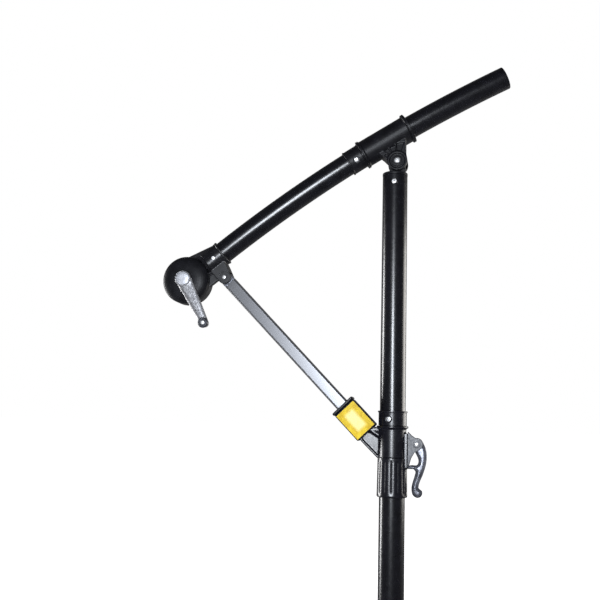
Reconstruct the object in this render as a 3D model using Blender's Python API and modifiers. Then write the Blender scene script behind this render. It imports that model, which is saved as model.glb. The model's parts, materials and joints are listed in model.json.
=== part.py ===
"""Upper linkage of a side-post (cantilever) patio umbrella.

A round mast carries a curved arm on a top hinge.  The arm's low end holds the
crank housing.  A strut runs from the housing to a collar that slides on the
mast and is locked by a brake lever.  Metres, +Z up, the front faces -Y, and
the origin is the middle of the mast's foot.
"""

import math

import bmesh
import bpy
from mathutils import Matrix, Vector

MM = 0.001
GAP = 0.3 * MM

# Mast
MAST_R = 24.0 * MM
MAST_WALL = 1.6 * MM
MAST_TOP = 815.0 * MM
HEAD_SHOULDER = 3.0 * MM
MAST_RIVET_Z = 799.6 * MM

# Top hinge: where the arm tilts on the mast
HINGE_X = 5.0 * MM
HINGE_Z = 842.0 * MM
TONGUE_HALF = 10.4 * MM
TONGUE_R = 15.0 * MM
DISC_THICK = 1.4 * MM
CHEEK_OUT = 18.5 * MM
LUG_R = 19.5 * MM
HINGE_BOLT_R = 4.0 * MM
HINGE_BOSS_R = 14.7 * MM

# Arm: one round tube bent to a wide arc
ARM_R = 22.0 * MM
ARM_WALL = 1.5 * MM
ARC_X = 1357.8 * MM
ARC_Z = -1470.0 * MM
ARC_R = 2729.9 * MM
ARM_LOW_X = -367.5 * MM
ARM_HIGH_X = 211.3 * MM
ARM_SEGMENTS = 12
BORE_R = ARM_R + 0.4 * MM
SLEEVE_LOW_X = -65.4 * MM
SLEEVE_LENGTH = 106.3 * MM
SLEEVE_R = 26.5 * MM
NECK_LENGTH = 32.0 * MM
NECK_R = 24.2 * MM

# Crank housing on the arm's low end
DRUM_X = -411.2 * MM
DRUM_Z = 608.8 * MM
DRUM_R = 47.0 * MM
DRUM_SPLIT = -6.0 * MM
DRUM_BACK = 27.0 * MM
DRUM_FRONT = -29.0 * MM
DRUM_WALL = 3.0 * MM
HOUSING_FLANGE_X = -340.9 * MM
HOUSING_SLEEVE_R = 24.5 * MM
HOUSING_RIVET_S = 20.5 * MM
SCREW_ANGLES = (130, 215, 305)
SCREW_RING_R = 38.6 * MM

# Strut, from its top pin on the housing to its lower pin in the collar's lug
PIN_TOP_X = -332.8 * MM
PIN_TOP_Z = 614.6 * MM
PIN_LOW_X = -56.0 * MM
PIN_LOW_Z = 329.5 * MM
STRUT_WIDTH = 25.0 * MM
STRUT_HALF_Y = 10.0 * MM
STRUT_WALL = 1.5 * MM
EAR_IN = 10.4 * MM
EAR_OUT = 16.0 * MM
EAR_R = 13.0 * MM

# Socket box on the strut's lower end, measured along the strut from the lower pin
SOCKET_BELOW_PIN = 14.0 * MM
SOCKET_LENGTH = 64.0 * MM
SOCKET_HALF = 23.5 * MM
SOCKET_HALF_Y = 17.0 * MM
SOCKET_IN_Y = 10.2 * MM
SOCKET_WALL = 2.5 * MM
RIM_THICK = 5.5 * MM

# Collar that slides on the mast
COLLAR_BORE = MAST_R + 0.5 * MM
COLLAR_R = 25.75 * MM
COLLAR_SEAM = 274.9 * MM
COLLAR_SHOULDER = 329.5 * MM
SHOULDER_THICK = 4.0 * MM
SHOULDER_R = 29.5 * MM
NECK_TOP = 361.1 * MM
COLLAR_NECK_R = 26.25 * MM
GRIP_BOTTOM = 203.5 * MM
GRIP_TOP_R = 27.2 * MM
GRIP_LOW_R = 28.4 * MM
GRIP_FLUTES = 14
LUG_HALF_Y = 9.8 * MM
LUG_EYE_R = 7.8 * MM

# Brake lever on the collar
PIVOT_X = 45.3 * MM
PIVOT_Z = 301.2 * MM
BOSS_X = 28.5 * MM
BOSS_HALF_Y = 12.5 * MM
BOSS_LOW = 257.0 * MM
BOSS_HIGH = 320.0 * MM
LEVER_HALF_Y = 7.2 * MM
BRACKET_IN = 7.6 * MM
BRACKET_OUT = 10.8 * MM
LEVER_PIN_R = 3.0 * MM
SHOE_LOW = 254.5 * MM
SHOE_HIGH = 263.6 * MM
BRACKET_SCREW_Z = (314.0 * MM, 281.0 * MM)

# Crank
CRANK_ANGLE = math.radians(-61.5)
CRANK_LENGTH = 100.5 * MM
CRANK_BACK = -30.0 * MM
CRANK_FRONT = -37.0 * MM
HUB_R = 15.7 * MM
SHAFT_R = 5.0 * MM

FRONT = Vector((0, -1, 0))
UP = Vector((0, 0, 1))


# ---------------------------------------------------------------- collections

for old in list(bpy.data.objects):
    bpy.data.objects.remove(old, do_unlink=True)

PARTS = bpy.data.collections.new("umbrella_swivel_bracket")
CUTTERS = bpy.data.collections.new("cutters")
for collection in (PARTS, CUTTERS):
    bpy.context.scene.collection.children.link(collection)


def make_material(name, colour, roughness, metallic=0.0):
    material = bpy.data.materials.new(name)
    material.use_nodes = True
    shader = material.node_tree.nodes["Principled BSDF"]
    shader.inputs["Base Color"].default_value = (*colour, 1.0)
    shader.inputs["Roughness"].default_value = roughness
    shader.inputs["Metallic"].default_value = metallic
    return material


BLACK_PAINT = make_material("black_paint", (0.012, 0.012, 0.015), 0.28)
BLACK_PLASTIC = make_material("black_plastic", (0.010, 0.010, 0.011), 0.42)
GREY_CASTING = make_material("grey_casting", (0.16, 0.17, 0.20), 0.38, 0.5)
STRUT_PAINT = make_material("strut_paint", (0.36, 0.37, 0.40), 0.35, 0.3)
CHROME = make_material("chrome", (0.75, 0.75, 0.77), 0.18, 1.0)
STEEL = make_material("steel", (0.62, 0.62, 0.63), 0.32, 1.0)
NYLON = make_material("nylon", (0.70, 0.69, 0.64), 0.5)
RUBBER = make_material("rubber", (0.02, 0.02, 0.02), 0.8)
YELLOW_FILM = make_material("yellow_film", (0.93, 0.62, 0.02), 0.3)


# ---------------------------------------------------------------- small tools

def place(obj, material, cutter=False):
    """Put an object in its collection, with its material and smooth round faces."""
    if cutter:
        CUTTERS.objects.link(obj)
        obj.hide_render = True
        obj.display_type = "WIRE"
        return obj
    PARTS.objects.link(obj)
    obj.data.materials.clear()
    obj.data.materials.append(material)
    obj.data.shade_smooth()
    obj.data.set_sharp_from_angle(angle=math.radians(35))
    return obj


def baked(obj):
    """Turn a curve or a screwed profile into a welded mesh object."""
    bpy.context.scene.collection.objects.link(obj)
    bpy.context.view_layer.update()
    evaluated = obj.evaluated_get(bpy.context.evaluated_depsgraph_get())
    mesh = bpy.data.meshes.new_from_object(evaluated)
    bm = bmesh.new()
    bm.from_mesh(mesh)
    bmesh.ops.remove_doubles(bm, verts=bm.verts, dist=0.00001)
    bmesh.ops.dissolve_limit(bm, angle_limit=math.radians(0.2), verts=bm.verts, edges=bm.edges)
    bmesh.ops.recalc_face_normals(bm, faces=bm.faces)
    bm.to_mesh(mesh)
    bm.free()
    mesh.name = obj.name
    name = obj.name
    matrix = obj.matrix_world.copy()
    bpy.data.objects.remove(obj, do_unlink=True)
    solid = bpy.data.objects.new(name, mesh)
    solid.matrix_world = matrix
    return solid


def lathe(name, profile, origin, direction, material=None, steps=40, ring=False):
    """Turn (radius, height) points about an axis; the outer side runs downwards."""
    mesh = bpy.data.meshes.new(name)
    count = len(profile)
    edges = [(i, i + 1) for i in range(count - 1)]
    if ring:
        edges.append((count - 1, 0))
    mesh.from_pydata([(r, 0, h) for r, h in profile], edges, [])
    obj = bpy.data.objects.new(name, mesh)
    screw = obj.modifiers.new("turn", "SCREW")
    screw.axis = "Z"
    screw.steps = steps
    screw.render_steps = steps
    screw.use_merge_vertices = True
    screw.merge_threshold = 0.00001
    obj.matrix_world = (Matrix.Translation(origin)
                        @ direction.to_track_quat("Z", "Y").to_matrix().to_4x4())
    return place(baked(obj), material, cutter=material is None)


def rod(name, radius, start, end, material=None, steps=32, chamfer=0.0):
    """A solid round bar from start to end."""
    axis = end - start
    bm = bmesh.new()
    bmesh.ops.create_cone(bm, cap_ends=True, segments=steps, radius1=radius, radius2=radius,
                          depth=axis.length)
    if chamfer:
        rims = [edge for edge in bm.edges if abs(edge.verts[0].co.z - edge.verts[1].co.z) < chamfer]
        bmesh.ops.bevel(bm, geom=rims, offset=chamfer, segments=1, affect="EDGES")
    mesh = bpy.data.meshes.new(name)
    bm.to_mesh(mesh)
    bm.free()
    obj = bpy.data.objects.new(name, mesh)
    obj.matrix_world = (Matrix.Translation((start + end) / 2)
                        @ axis.to_track_quat("Z", "Y").to_matrix().to_4x4())
    return place(obj, material, cutter=material is None)


def ring(name, r_out, r_in, start, end, material=None, steps=40, chamfer=0.0):
    """A round tube from start to end."""
    length = (end - start).length
    profile = [(r_out - chamfer, length), (r_out, length - chamfer), (r_out, chamfer),
               (r_out - chamfer, 0), (r_in, 0), (r_in, length)]
    if not chamfer:
        profile = [(r_out, length), (r_out, 0), (r_in, 0), (r_in, length)]
    return lathe(name, profile, start, end - start, material, steps, ring=True)


def block(name, centre, size, material=None, angle=0.0):
    """A box of a given size, turned about Y by an angle."""
    bm = bmesh.new()
    bmesh.ops.create_cube(bm, size=1.0, matrix=Matrix.Diagonal((*size, 1.0)))
    mesh = bpy.data.meshes.new(name)
    bm.to_mesh(mesh)
    bm.free()
    obj = bpy.data.objects.new(name, mesh)
    obj.location = centre
    obj.rotation_euler = (0, -angle, 0)
    return place(obj, material, cutter=material is None)


def arc(cx, cz, radius, start_deg, end_deg, count):
    """Points on an arc in the XZ plane."""
    points = []
    for i in range(count + 1):
        a = math.radians(start_deg + (end_deg - start_deg) * i / count)
        points.append((cx + radius * math.cos(a), cz + radius * math.sin(a)))
    return points


def plate(name, outlines, y_front, y_back, material=None):
    """Flat outlines in the XZ plane, the first one solid and the rest holes."""
    curve = bpy.data.curves.new(name, "CURVE")
    curve.dimensions = "2D"
    curve.fill_mode = "BOTH"
    curve.extrude = (y_back - y_front) / 2
    for outline in outlines:
        spline = curve.splines.new("POLY")
        spline.points.add(len(outline) - 1)
        spline.use_cyclic_u = True
        for point, (x, z) in zip(spline.points, outline):
            point.co = (x, z, 0, 1)
    obj = bpy.data.objects.new(name, curve)
    obj.matrix_world = (Matrix.Translation((0, (y_front + y_back) / 2, 0))
                        @ Matrix.Rotation(math.radians(90), 4, "X"))
    return place(baked(obj), material, cutter=material is None)


def smooth_outline(name, points, y_front, y_back, material, resolution=3):
    """A flat Bezier outline; each point is (x, z, sharp)."""
    curve = bpy.data.curves.new(name, "CURVE")
    curve.dimensions = "2D"
    curve.fill_mode = "BOTH"
    curve.extrude = (y_back - y_front) / 2
    curve.resolution_u = resolution
    spline = curve.splines.new("BEZIER")
    spline.bezier_points.add(len(points) - 1)
    spline.use_cyclic_u = True
    for bezier, (x, z, sharp) in zip(spline.bezier_points, points):
        bezier.co = (x, z, 0)
        kind = "VECTOR" if sharp else "AUTO"
        bezier.handle_left_type = kind
        bezier.handle_right_type = kind
    obj = bpy.data.objects.new(name, curve)
    obj.matrix_world = (Matrix.Translation((0, (y_front + y_back) / 2, 0))
                        @ Matrix.Rotation(math.radians(90), 4, "X"))
    return place(baked(obj), material)


def boolean(obj, operation, *others):
    """Join or cut with each of the other solids in turn."""
    for other in others:
        modifier = obj.modifiers.new(other.name, "BOOLEAN")
        modifier.operation = operation
        modifier.object = other
        modifier.solver = "EXACT"
    return obj


def cut(obj, *others):
    return boolean(obj, "DIFFERENCE", *others)


def join(obj, *others):
    return boolean(obj, "UNION", *others)


def bevel(obj, width, segments=2, angle=40):
    modifier = obj.modifiers.new("rounded_edges", "BEVEL")
    modifier.width = width
    modifier.segments = segments
    modifier.limit_method = "ANGLE"
    modifier.angle_limit = math.radians(angle)
    modifier.harden_normals = False
    return obj


def across(x, z, y_a, y_b):
    """The two ends of a line along Y."""
    return Vector((x, y_a, z)), Vector((x, y_b, z))


def rivet(name, seat, outward, head_r, shank_r, shank_length):
    """A pop rivet: a domed head on its seat, with a dimple where the stem broke off."""
    head_h = 0.34 * head_r
    lip = 0.3 * head_r
    profile = [(0, head_h - 0.25 * MM), (lip, head_h - 0.25 * MM), (lip + 0.2 * MM, head_h)]
    for i in range(1, 4):
        a = math.radians(90 * i / 3)
        spread = head_r - lip - 0.2 * MM
        profile.append((lip + 0.2 * MM + spread * math.sin(a), head_h * (0.15 + 0.85 * math.cos(a))))
    profile += [(head_r, 0), (shank_r, 0), (shank_r, -shank_length), (0, -shank_length)]
    return lathe(name, profile, seat, outward, STEEL, steps=12)


def pin(name, x, z, y_head, y_end, shank_r, head_r, head_h, material=STEEL, dome=0.4):
    """A pin along Y whose domed head stands in front of y_head."""
    outward = 1 if y_head > y_end else -1
    length = abs(y_end - y_head)
    profile = [(0, head_h), (head_r * 0.55, head_h - head_h * dome * 0.25),
               (head_r * 0.85, head_h * (1 - dome)), (head_r, head_h * (1 - dome) * 0.6),
               (head_r, 0), (shank_r, 0), (shank_r, -length), (0, -length)]
    return lathe(name, profile, Vector((x, y_head, z)), Vector((0, outward, 0)), material, steps=14)


def cross_recess(name, x, z, y_surface, length, width, depth):
    """Two crossed slots, as cutters in a screw's head that faces -Y."""
    centre = Vector((x, y_surface, z))
    return [block(f"{name}_slot_{i}", centre, (length, 2 * depth, width), angle=math.radians(45 + 90 * i))
            for i in range(2)]


def nut(name, x, z, y_near, y_far, bolt_r, across_corners):
    """A hexagon nut on a bolt along Y."""
    start, end = across(x, z, y_near, y_far)
    return ring(name, across_corners / 2, (bolt_r + GAP) / math.cos(math.pi / 6), start, end, STEEL,
                steps=6)


# ---------------------------------------------------------------- the arm's arc

def arm_angle(x):
    """Angle about the arc's centre of the arm point at x."""
    return math.acos((x - ARC_X) / ARC_R)


def arm_point(x, along=0.0):
    """A point on the arm's axis, moved along it towards its high end."""
    a = arm_angle(x) - along / ARC_R
    return Vector((ARC_X + ARC_R * math.cos(a), 0, ARC_Z + ARC_R * math.sin(a)))


def arm_direction(x):
    """Unit vector along the arm at x, towards its high end."""
    a = arm_angle(x) - math.pi / 2
    return Vector((math.cos(a), 0, math.sin(a)))


def arm_sweep(name, radius, x_low, x_high, segments, material=None, extend=0.0):
    """A solid round bar that follows the arm."""
    curve = bpy.data.curves.new(name, "CURVE")
    curve.dimensions = "3D"
    curve.bevel_depth = radius
    curve.bevel_resolution = 5
    curve.use_fill_caps = True
    spline = curve.splines.new("POLY")
    spline.points.add(segments)
    a_low = arm_angle(x_low) + extend / ARC_R
    a_high = arm_angle(x_high) - extend / ARC_R
    for i, point in enumerate(spline.points):
        a = a_low + (a_high - a_low) * i / segments
        point.co = (ARC_X + ARC_R * math.cos(a), 0, ARC_Z + ARC_R * math.sin(a), 1)
    return place(baked(bpy.data.objects.new(name, curve)), material, cutter=material is None)


def arm_bore(name):
    """Cutter for everything that the arm tube passes through."""
    return arm_sweep(name, BORE_R, ARM_LOW_X - GAP, ARM_HIGH_X, ARM_SEGMENTS, extend=0.0)


# ---------------------------------------------------------------- the strut's frame

STRUT_LENGTH = math.hypot(PIN_LOW_X - PIN_TOP_X, PIN_LOW_Z - PIN_TOP_Z)
STRUT_ANGLE = math.atan2(PIN_LOW_Z - PIN_TOP_Z, PIN_LOW_X - PIN_TOP_X)


def on_strut(along, side):
    """(x, z) of a point: along the strut from its top pin, and to its upper side."""
    c, s = math.cos(STRUT_ANGLE), math.sin(STRUT_ANGLE)
    return (PIN_TOP_X + along * c - side * s, PIN_TOP_Z + along * s + side * c)


def strut_box(name, a0, a1, half_width, half_y, material=None, shift=0.0):
    """A box along the strut between two stations."""
    x, z = on_strut((a0 + a1) / 2, shift)
    return block(name, Vector((x, 0, z)), (a1 - a0, 2 * half_y, 2 * half_width), material, STRUT_ANGLE)


# ---------------------------------------------------------------- mast

def make_mast():
    tube = ring("mast_tube", MAST_R, MAST_R - MAST_WALL, Vector((0, 0, 0)),
                UP * MAST_TOP, BLACK_PAINT, steps=40)
    hole = rod("mast_rivet_hole", 2.7 * MM, Vector((0, -30 * MM, MAST_RIVET_Z)),
               Vector((0, 30 * MM, MAST_RIVET_Z)), steps=12)
    cut(tube, hole)
    inner_r = MAST_R - MAST_WALL - GAP
    plug_top = 24 * MM
    lathe("mast_foot_plug",
          [(0, plug_top), (inner_r, plug_top), (inner_r, 0), (0, 0)],
          Vector((0, 0, 0)), UP, BLACK_PLASTIC)
    return hole


def make_mast_head(rivet_hole):
    """Fitting in the mast's top, with the hinge tongue."""
    inner_r = MAST_R - MAST_WALL - GAP
    seat = MAST_TOP + GAP
    top = seat + HEAD_SHOULDER
    head = lathe("mast_head",
                 [(0, top), (MAST_R - 0.8 * MM, top), (MAST_R + 0.3 * MM, top - 1.0 * MM),
                  (MAST_R + 0.3 * MM, seat), (inner_r, seat), (inner_r, seat - 42 * MM),
                  (0, seat - 42 * MM)],
                 Vector((0, 0, 0)), UP, BLACK_PLASTIC, steps=32)
    root = top - 2.4 * MM
    outline = [(HINGE_X - TONGUE_R, root), (HINGE_X + TONGUE_R, root)]
    outline += arc(HINGE_X, HINGE_Z, TONGUE_R, 0, 180, 14)
    tongue = plate("mast_head_tongue", [outline], -TONGUE_HALF, TONGUE_HALF)
    pin_hole = rod("mast_head_pin_hole", HINGE_BOLT_R + GAP,
                   *across(HINGE_X, HINGE_Z, -20 * MM, 20 * MM), steps=24)
    join(head, tongue)
    cut(head, rivet_hole, pin_hole)
    for side, name in ((-1, "mast_rivet_front"), (1, "mast_rivet_rear")):
        seat_point = Vector((0, side * (MAST_R + GAP), MAST_RIVET_Z))
        rivet(name, seat_point, Vector((0, side, 0)), 5.0 * MM, 2.4 * MM, 7.0 * MM)


# ---------------------------------------------------------------- arm and its hinge bracket

def make_arm():
    arm = arm_sweep("arm_tube", ARM_R, ARM_LOW_X, ARM_HIGH_X, ARM_SEGMENTS, BLACK_PAINT)
    inside = arm_sweep("arm_tube_inside", ARM_R - ARM_WALL, ARM_LOW_X, ARM_HIGH_X, ARM_SEGMENTS,
                       extend=2 * MM)
    cut(arm, inside)
    end = arm_point(ARM_HIGH_X)
    direction = arm_direction(ARM_HIGH_X)
    plug_r = ARM_R - ARM_WALL - 3 * GAP
    lathe("arm_end_plug",
          [(0, 0), (plug_r, 0), (plug_r, -15 * MM), (0, -15 * MM)],
          end, direction, BLACK_PLASTIC)
    return arm


def bracket_lug_outline():
    """Side view of the lug under the sleeve, round about the hinge pin."""
    x, z = HINGE_X, HINGE_Z
    outline = [(x - 39.0 * MM, z + 19.6 * MM), (x - 35.0 * MM, z + 15.6 * MM),
               (x - 27.6 * MM, z + 9.5 * MM)]
    outline += arc(x, z, LUG_R, 176, 372, 20)
    outline += [(x + 15.6 * MM, z + 22.0 * MM), (x + 15.6 * MM, z + 51.6 * MM)]
    return outline


def make_arm_bracket():
    """Cast sleeve round the arm, with the two cheeks of the top hinge."""
    low = arm_point(SLEEVE_LOW_X)
    high = arm_point(SLEEVE_LOW_X, SLEEVE_LENGTH)
    length = (high - low).length
    flange = 5.0 * MM
    profile = [(20 * MM, length), (29.2 * MM, length), (30.0 * MM, length - 0.8 * MM),
               (30.0 * MM, length - flange), (SLEEVE_R, length - flange - 1.5 * MM),
               (SLEEVE_R, flange + 1.2 * MM), (29.0 * MM, flange), (29.0 * MM, 0.8 * MM),
               (28.2 * MM, 0), (20 * MM, 0)]
    bracket = lathe("arm_bracket", profile, low, high - low, BLACK_PLASTIC, steps=36, ring=True)
    lug = plate("bracket_lug", [bracket_lug_outline()], -CHEEK_OUT, CHEEK_OUT)
    boss_half = CHEEK_OUT + 1.3 * MM
    boss = rod("bracket_boss", LUG_R - 0.6 * MM,
               *across(HINGE_X, HINGE_Z, -boss_half, boss_half), steps=30)
    slot_outline = arc(HINGE_X, HINGE_Z, TONGUE_R + 2.2 * MM, 0, 180, 12)
    slot_outline += [(HINGE_X - 40 * MM, HINGE_Z - 8 * MM), (HINGE_X - 40 * MM, HINGE_Z - 40 * MM),
                     (HINGE_X + 40 * MM, HINGE_Z - 40 * MM), (HINGE_X + 40 * MM, HINGE_Z - 8 * MM)]
    slot_half = TONGUE_HALF + DISC_THICK + 2 * GAP
    slot = plate("bracket_slot", [slot_outline], -slot_half, slot_half)
    pin_hole = rod("bracket_pin_hole", HINGE_BOLT_R + GAP,
                   *across(HINGE_X, HINGE_Z, -40 * MM, 40 * MM), steps=18)
    recesses = [rod(f"bracket_boss_recess_{i}", HINGE_BOSS_R,
                    *across(HINGE_X, HINGE_Z, side * (CHEEK_OUT - 0.3 * MM), side * 30 * MM), steps=24)
                for i, side in enumerate((-1, 1))]
    join(bracket, lug, boss)
    cut(bracket, slot, pin_hole, *recesses, *bracket_pockets(), arm_bore("bracket_bore"))
    return low


def bracket_pockets():
    """Cells between the boss and the sleeve, parted by radial ribs, on both cheeks."""
    normal_deg = 120.4
    sleeve_gap = 31.0 * MM
    cells = ((160, 147, 27), (142, 125, 40), (120, 99, 40), (94, 70, 40))
    pockets = []
    for i, (start, end, limit) in enumerate(cells):
        outline = []
        for a in (start, end):
            reach = min(sleeve_gap / math.cos(math.radians(a - normal_deg)), limit * MM)
            outline.append((HINGE_X + reach * math.cos(math.radians(a)),
                            HINGE_Z + reach * math.sin(math.radians(a))))
        outline += arc(HINGE_X, HINGE_Z, LUG_R + 1.0 * MM, end, start, 3)
        for side in (-1, 1):
            near, far = sorted((side * (CHEEK_OUT - 3.0 * MM), side * (CHEEK_OUT + 3.0 * MM)))
            pockets.append(plate(f"bracket_pocket_{i}_{side + 1}", [outline], near, far))
    return pockets


def make_arm_neck(sleeve_end):
    """Bush that grips the arm beside the sleeve, with its rivet."""
    direction = arm_direction(SLEEVE_LOW_X - 14 * MM)
    start = sleeve_end - direction * NECK_LENGTH
    bend_room = 0.9 * MM
    profile = [(20 * MM, NECK_LENGTH - bend_room), (NECK_R + 1.0 * MM, NECK_LENGTH - bend_room),
               (NECK_R, NECK_LENGTH - 2.5 * MM), (NECK_R, 3.0 * MM), (25.2 * MM, 2.4 * MM),
               (25.2 * MM, 0.5 * MM), (24.7 * MM, 0), (20 * MM, 0)]
    neck = lathe("arm_neck_bush", profile, start, direction, BLACK_PLASTIC, steps=36, ring=True)
    up_side = Vector((-direction.z, 0, direction.x))
    seat_angle = math.radians(20)
    outward = FRONT * math.cos(seat_angle) - up_side * math.sin(seat_angle)
    centre = start + direction * 17 * MM
    spot = rod("arm_neck_spot", 6.8 * MM, centre + outward * (NECK_R - 0.9 * MM),
               centre + outward * 32 * MM, steps=16)
    hole = rod("arm_neck_rivet_hole", 2.7 * MM, centre + outward * 15 * MM,
               centre + outward * 32 * MM, steps=12)
    cut(neck, spot, hole, arm_bore("arm_neck_bore"))
    rivet("arm_neck_rivet", centre + outward * (NECK_R - 0.6 * MM), outward, 4.6 * MM, 2.4 * MM, 4.0 * MM)
    return hole


def make_top_hinge():
    disc_inner = HINGE_BOLT_R + GAP
    for side, name in ((-1, "hinge_disc_front"), (1, "hinge_disc_rear")):
        near = side * (TONGUE_HALF + GAP)
        far = near + side * DISC_THICK
        ring(name, TONGUE_R - 1.0 * MM, disc_inner, *across(HINGE_X, HINGE_Z, near, far), NYLON, steps=24)
    washer_near = -(CHEEK_OUT + GAP)
    washer_far = washer_near - 1.4 * MM
    ring("hinge_washer_front", HINGE_BOSS_R - 0.5 * MM, disc_inner,
         *across(HINGE_X, HINGE_Z, washer_near, washer_far), BLACK_PLASTIC, steps=24)
    ring("hinge_washer_rear", HINGE_BOSS_R - 0.5 * MM, disc_inner,
         *across(HINGE_X, HINGE_Z, -washer_near, -washer_far), BLACK_PLASTIC, steps=24)
    head_back = washer_far - GAP
    bolt = pin("hinge_bolt", HINGE_X, HINGE_Z, head_back, 28 * MM, HINGE_BOLT_R, 6.0 * MM, 3.2 * MM)
    cut(bolt, *cross_recess("hinge_bolt", HINGE_X, HINGE_Z, head_back - 3.2 * MM,
                            6.4 * MM, 1.5 * MM, 1.6 * MM))
    nut("hinge_nut", HINGE_X, HINGE_Z, -washer_far + GAP, -washer_far + GAP + 5.5 * MM,
        HINGE_BOLT_R, 15.0 * MM)


# ---------------------------------------------------------------- crank housing

def drum_profile(y_wide, y_end, r_end, inward=0.0):
    """(radius, y) points of the drum's rounded side, from its wide plane to its end."""
    points = []
    radius = DRUM_R - inward
    for i in range(7):
        a = math.radians(90 * i / 6)
        points.append((r_end + (radius - r_end) * math.cos(a), y_wide + (y_end - y_wide) * math.sin(a)))
    return points


def housing_frame(s, n):
    """(x, z) near the housing's sleeve: s down the arm from the flange, n above its axis."""
    point = arm_point(HOUSING_FLANGE_X, -s)
    direction = arm_direction(HOUSING_FLANGE_X)
    return (point.x - n * direction.z, point.z + n * direction.x)


def make_housing():
    """Rear half of the crank housing, with the sleeve on the arm and the strut's ears."""
    centre = Vector((DRUM_X, 0, DRUM_Z))
    back = [(r, y) for r, y in drum_profile(14 * MM, DRUM_BACK, 20 * MM)]
    outer = [(0, DRUM_BACK)] + list(reversed(back)) + [(DRUM_R, DRUM_SPLIT), (0, DRUM_SPLIT)]
    housing = lathe("crank_housing", outer, centre, Vector((0, 1, 0)), BLACK_PLASTIC, steps=36)
    flange = arm_point(HOUSING_FLANGE_X)
    direction = arm_direction(HOUSING_FLANGE_X)
    sleeve_end = flange - direction * 38 * MM
    length = 38 * MM
    sleeve = lathe("housing_sleeve",
                   [(0, length), (25.0 * MM, length), (25.6 * MM, length - 0.6 * MM),
                    (25.6 * MM, length - 3.0 * MM), (HOUSING_SLEEVE_R, length - 3.8 * MM),
                    (HOUSING_SLEEVE_R, 0), (0, 0)],
                   sleeve_end, direction, steps=28)
    neck = housing_neck()
    ear_outline = housing_ear_outline()
    ears = plate("housing_ears", [ear_outline], -EAR_OUT, EAR_OUT)
    web_outline = [housing_frame(30 * MM, -12 * MM), housing_frame(12 * MM, -20 * MM),
                   (PIN_TOP_X - 16.5 * MM, PIN_TOP_Z - 4.5 * MM),
                   (PIN_TOP_X - 34.0 * MM, PIN_TOP_Z - 18.0 * MM), (DRUM_X + 30 * MM, DRUM_Z - 8 * MM)]
    web = plate("housing_web", [web_outline], -6 * MM, 6 * MM)
    cover_room = rod("housing_cover_room", DRUM_R + 0.5 * MM,
                     *across(DRUM_X, DRUM_Z, DRUM_SPLIT - GAP / 2, -60 * MM), steps=36)
    join(housing, sleeve, neck, ears, web)
    slot_outline = arc(PIN_TOP_X, PIN_TOP_Z, 14.2 * MM, 38.5, 218.5, 12)
    slot_outline += [(PIN_TOP_X + 10 * MM, PIN_TOP_Z - 40 * MM), (PIN_TOP_X + 40 * MM, PIN_TOP_Z - 10 * MM)]
    slot = plate("housing_ear_slot", [slot_outline], -EAR_IN, EAR_IN)
    pin_hole = rod("housing_pin_hole", 3.0 * MM + GAP,
                   *across(PIN_TOP_X, PIN_TOP_Z, -30 * MM, 30 * MM), steps=20)
    grooves = [ring(f"housing_ear_groove_{i}", 11.3 * MM, 10.3 * MM,
                    *across(PIN_TOP_X, PIN_TOP_Z, side * (EAR_OUT - 0.7 * MM), side * 20 * MM), steps=18)
               for i, side in enumerate((-1, 1))]
    inner_back = [(r, y) for r, y in drum_profile(14 * MM, DRUM_BACK - DRUM_WALL, 20 * MM, DRUM_WALL)]
    cavity = lathe("housing_cavity",
                   [(0, DRUM_BACK - DRUM_WALL)] + list(reversed(inner_back))
                   + [(DRUM_R - DRUM_WALL, DRUM_SPLIT - 5 * MM), (0, DRUM_SPLIT - 5 * MM)],
                   centre, Vector((0, 1, 0)), steps=20)
    channel_start = arm_point(ARM_LOW_X, 5 * MM)
    channel = rod("housing_cord_channel", 9 * MM, channel_start,
                  channel_start - direction * 34 * MM, steps=16)
    shaft_hole = rod("housing_bush_hole", SHAFT_R + 3.0 * MM + GAP,
                     *across(DRUM_X, DRUM_Z, 15 * MM, 35 * MM), steps=24)
    rivet_point, rivet_out = housing_rivet_seat()
    spot = rod("housing_rivet_spot", 6.2 * MM, rivet_point, rivet_point + rivet_out * 8 * MM, steps=20)
    rivet_hole = rod("housing_rivet_hole", 2.4 * MM, rivet_point - rivet_out * 8 * MM,
                     rivet_point + rivet_out * 8 * MM, steps=12)
    cut(housing, cover_room, slot, pin_hole, *grooves, cavity, channel, shaft_hole, spot, rivet_hole,
        *screw_holes("housing_screw_hole", 1.7 * MM, -20 * MM, 40 * MM), arm_bore("housing_bore"))
    rivet("housing_rivet", rivet_point + rivet_out * GAP, rivet_out, 4.0 * MM, 2.1 * MM, 4.0 * MM)
    return rivet_hole


def housing_neck():
    """Convex blend from the sleeve into the drum's top and side."""
    bm = bmesh.new()
    direction = arm_direction(HOUSING_FLANGE_X)
    centre = arm_point(HOUSING_FLANGE_X) - direction * 9 * MM
    side = Vector((-direction.z, 0, direction.x))
    for i in range(24):
        a = 2 * math.pi * i / 24
        offset = side * math.cos(a) + Vector((0, 1, 0)) * math.sin(a)
        bm.verts.new(centre + offset * (HOUSING_SLEEVE_R + 0.05 * MM))
    for y in (-5.6 * MM, 16 * MM):
        for x, z in arc(DRUM_X, DRUM_Z, DRUM_R - 0.4 * MM, 96, 20, 10):
            bm.verts.new((x, y, z))
    bm.verts.new((DRUM_X, -5.6 * MM, DRUM_Z))
    bm.verts.new((DRUM_X, 16 * MM, DRUM_Z))
    hull = bmesh.ops.convex_hull(bm, input=bm.verts)
    loose = [v for v in hull["geom_interior"] if isinstance(v, bmesh.types.BMVert)]
    bmesh.ops.delete(bm, geom=loose, context="VERTS")
    bmesh.ops.recalc_face_normals(bm, faces=bm.faces)
    mesh = bpy.data.meshes.new("housing_neck")
    bm.to_mesh(mesh)
    bm.free()
    return place(bpy.data.objects.new("housing_neck", mesh), None, cutter=True)


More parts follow.
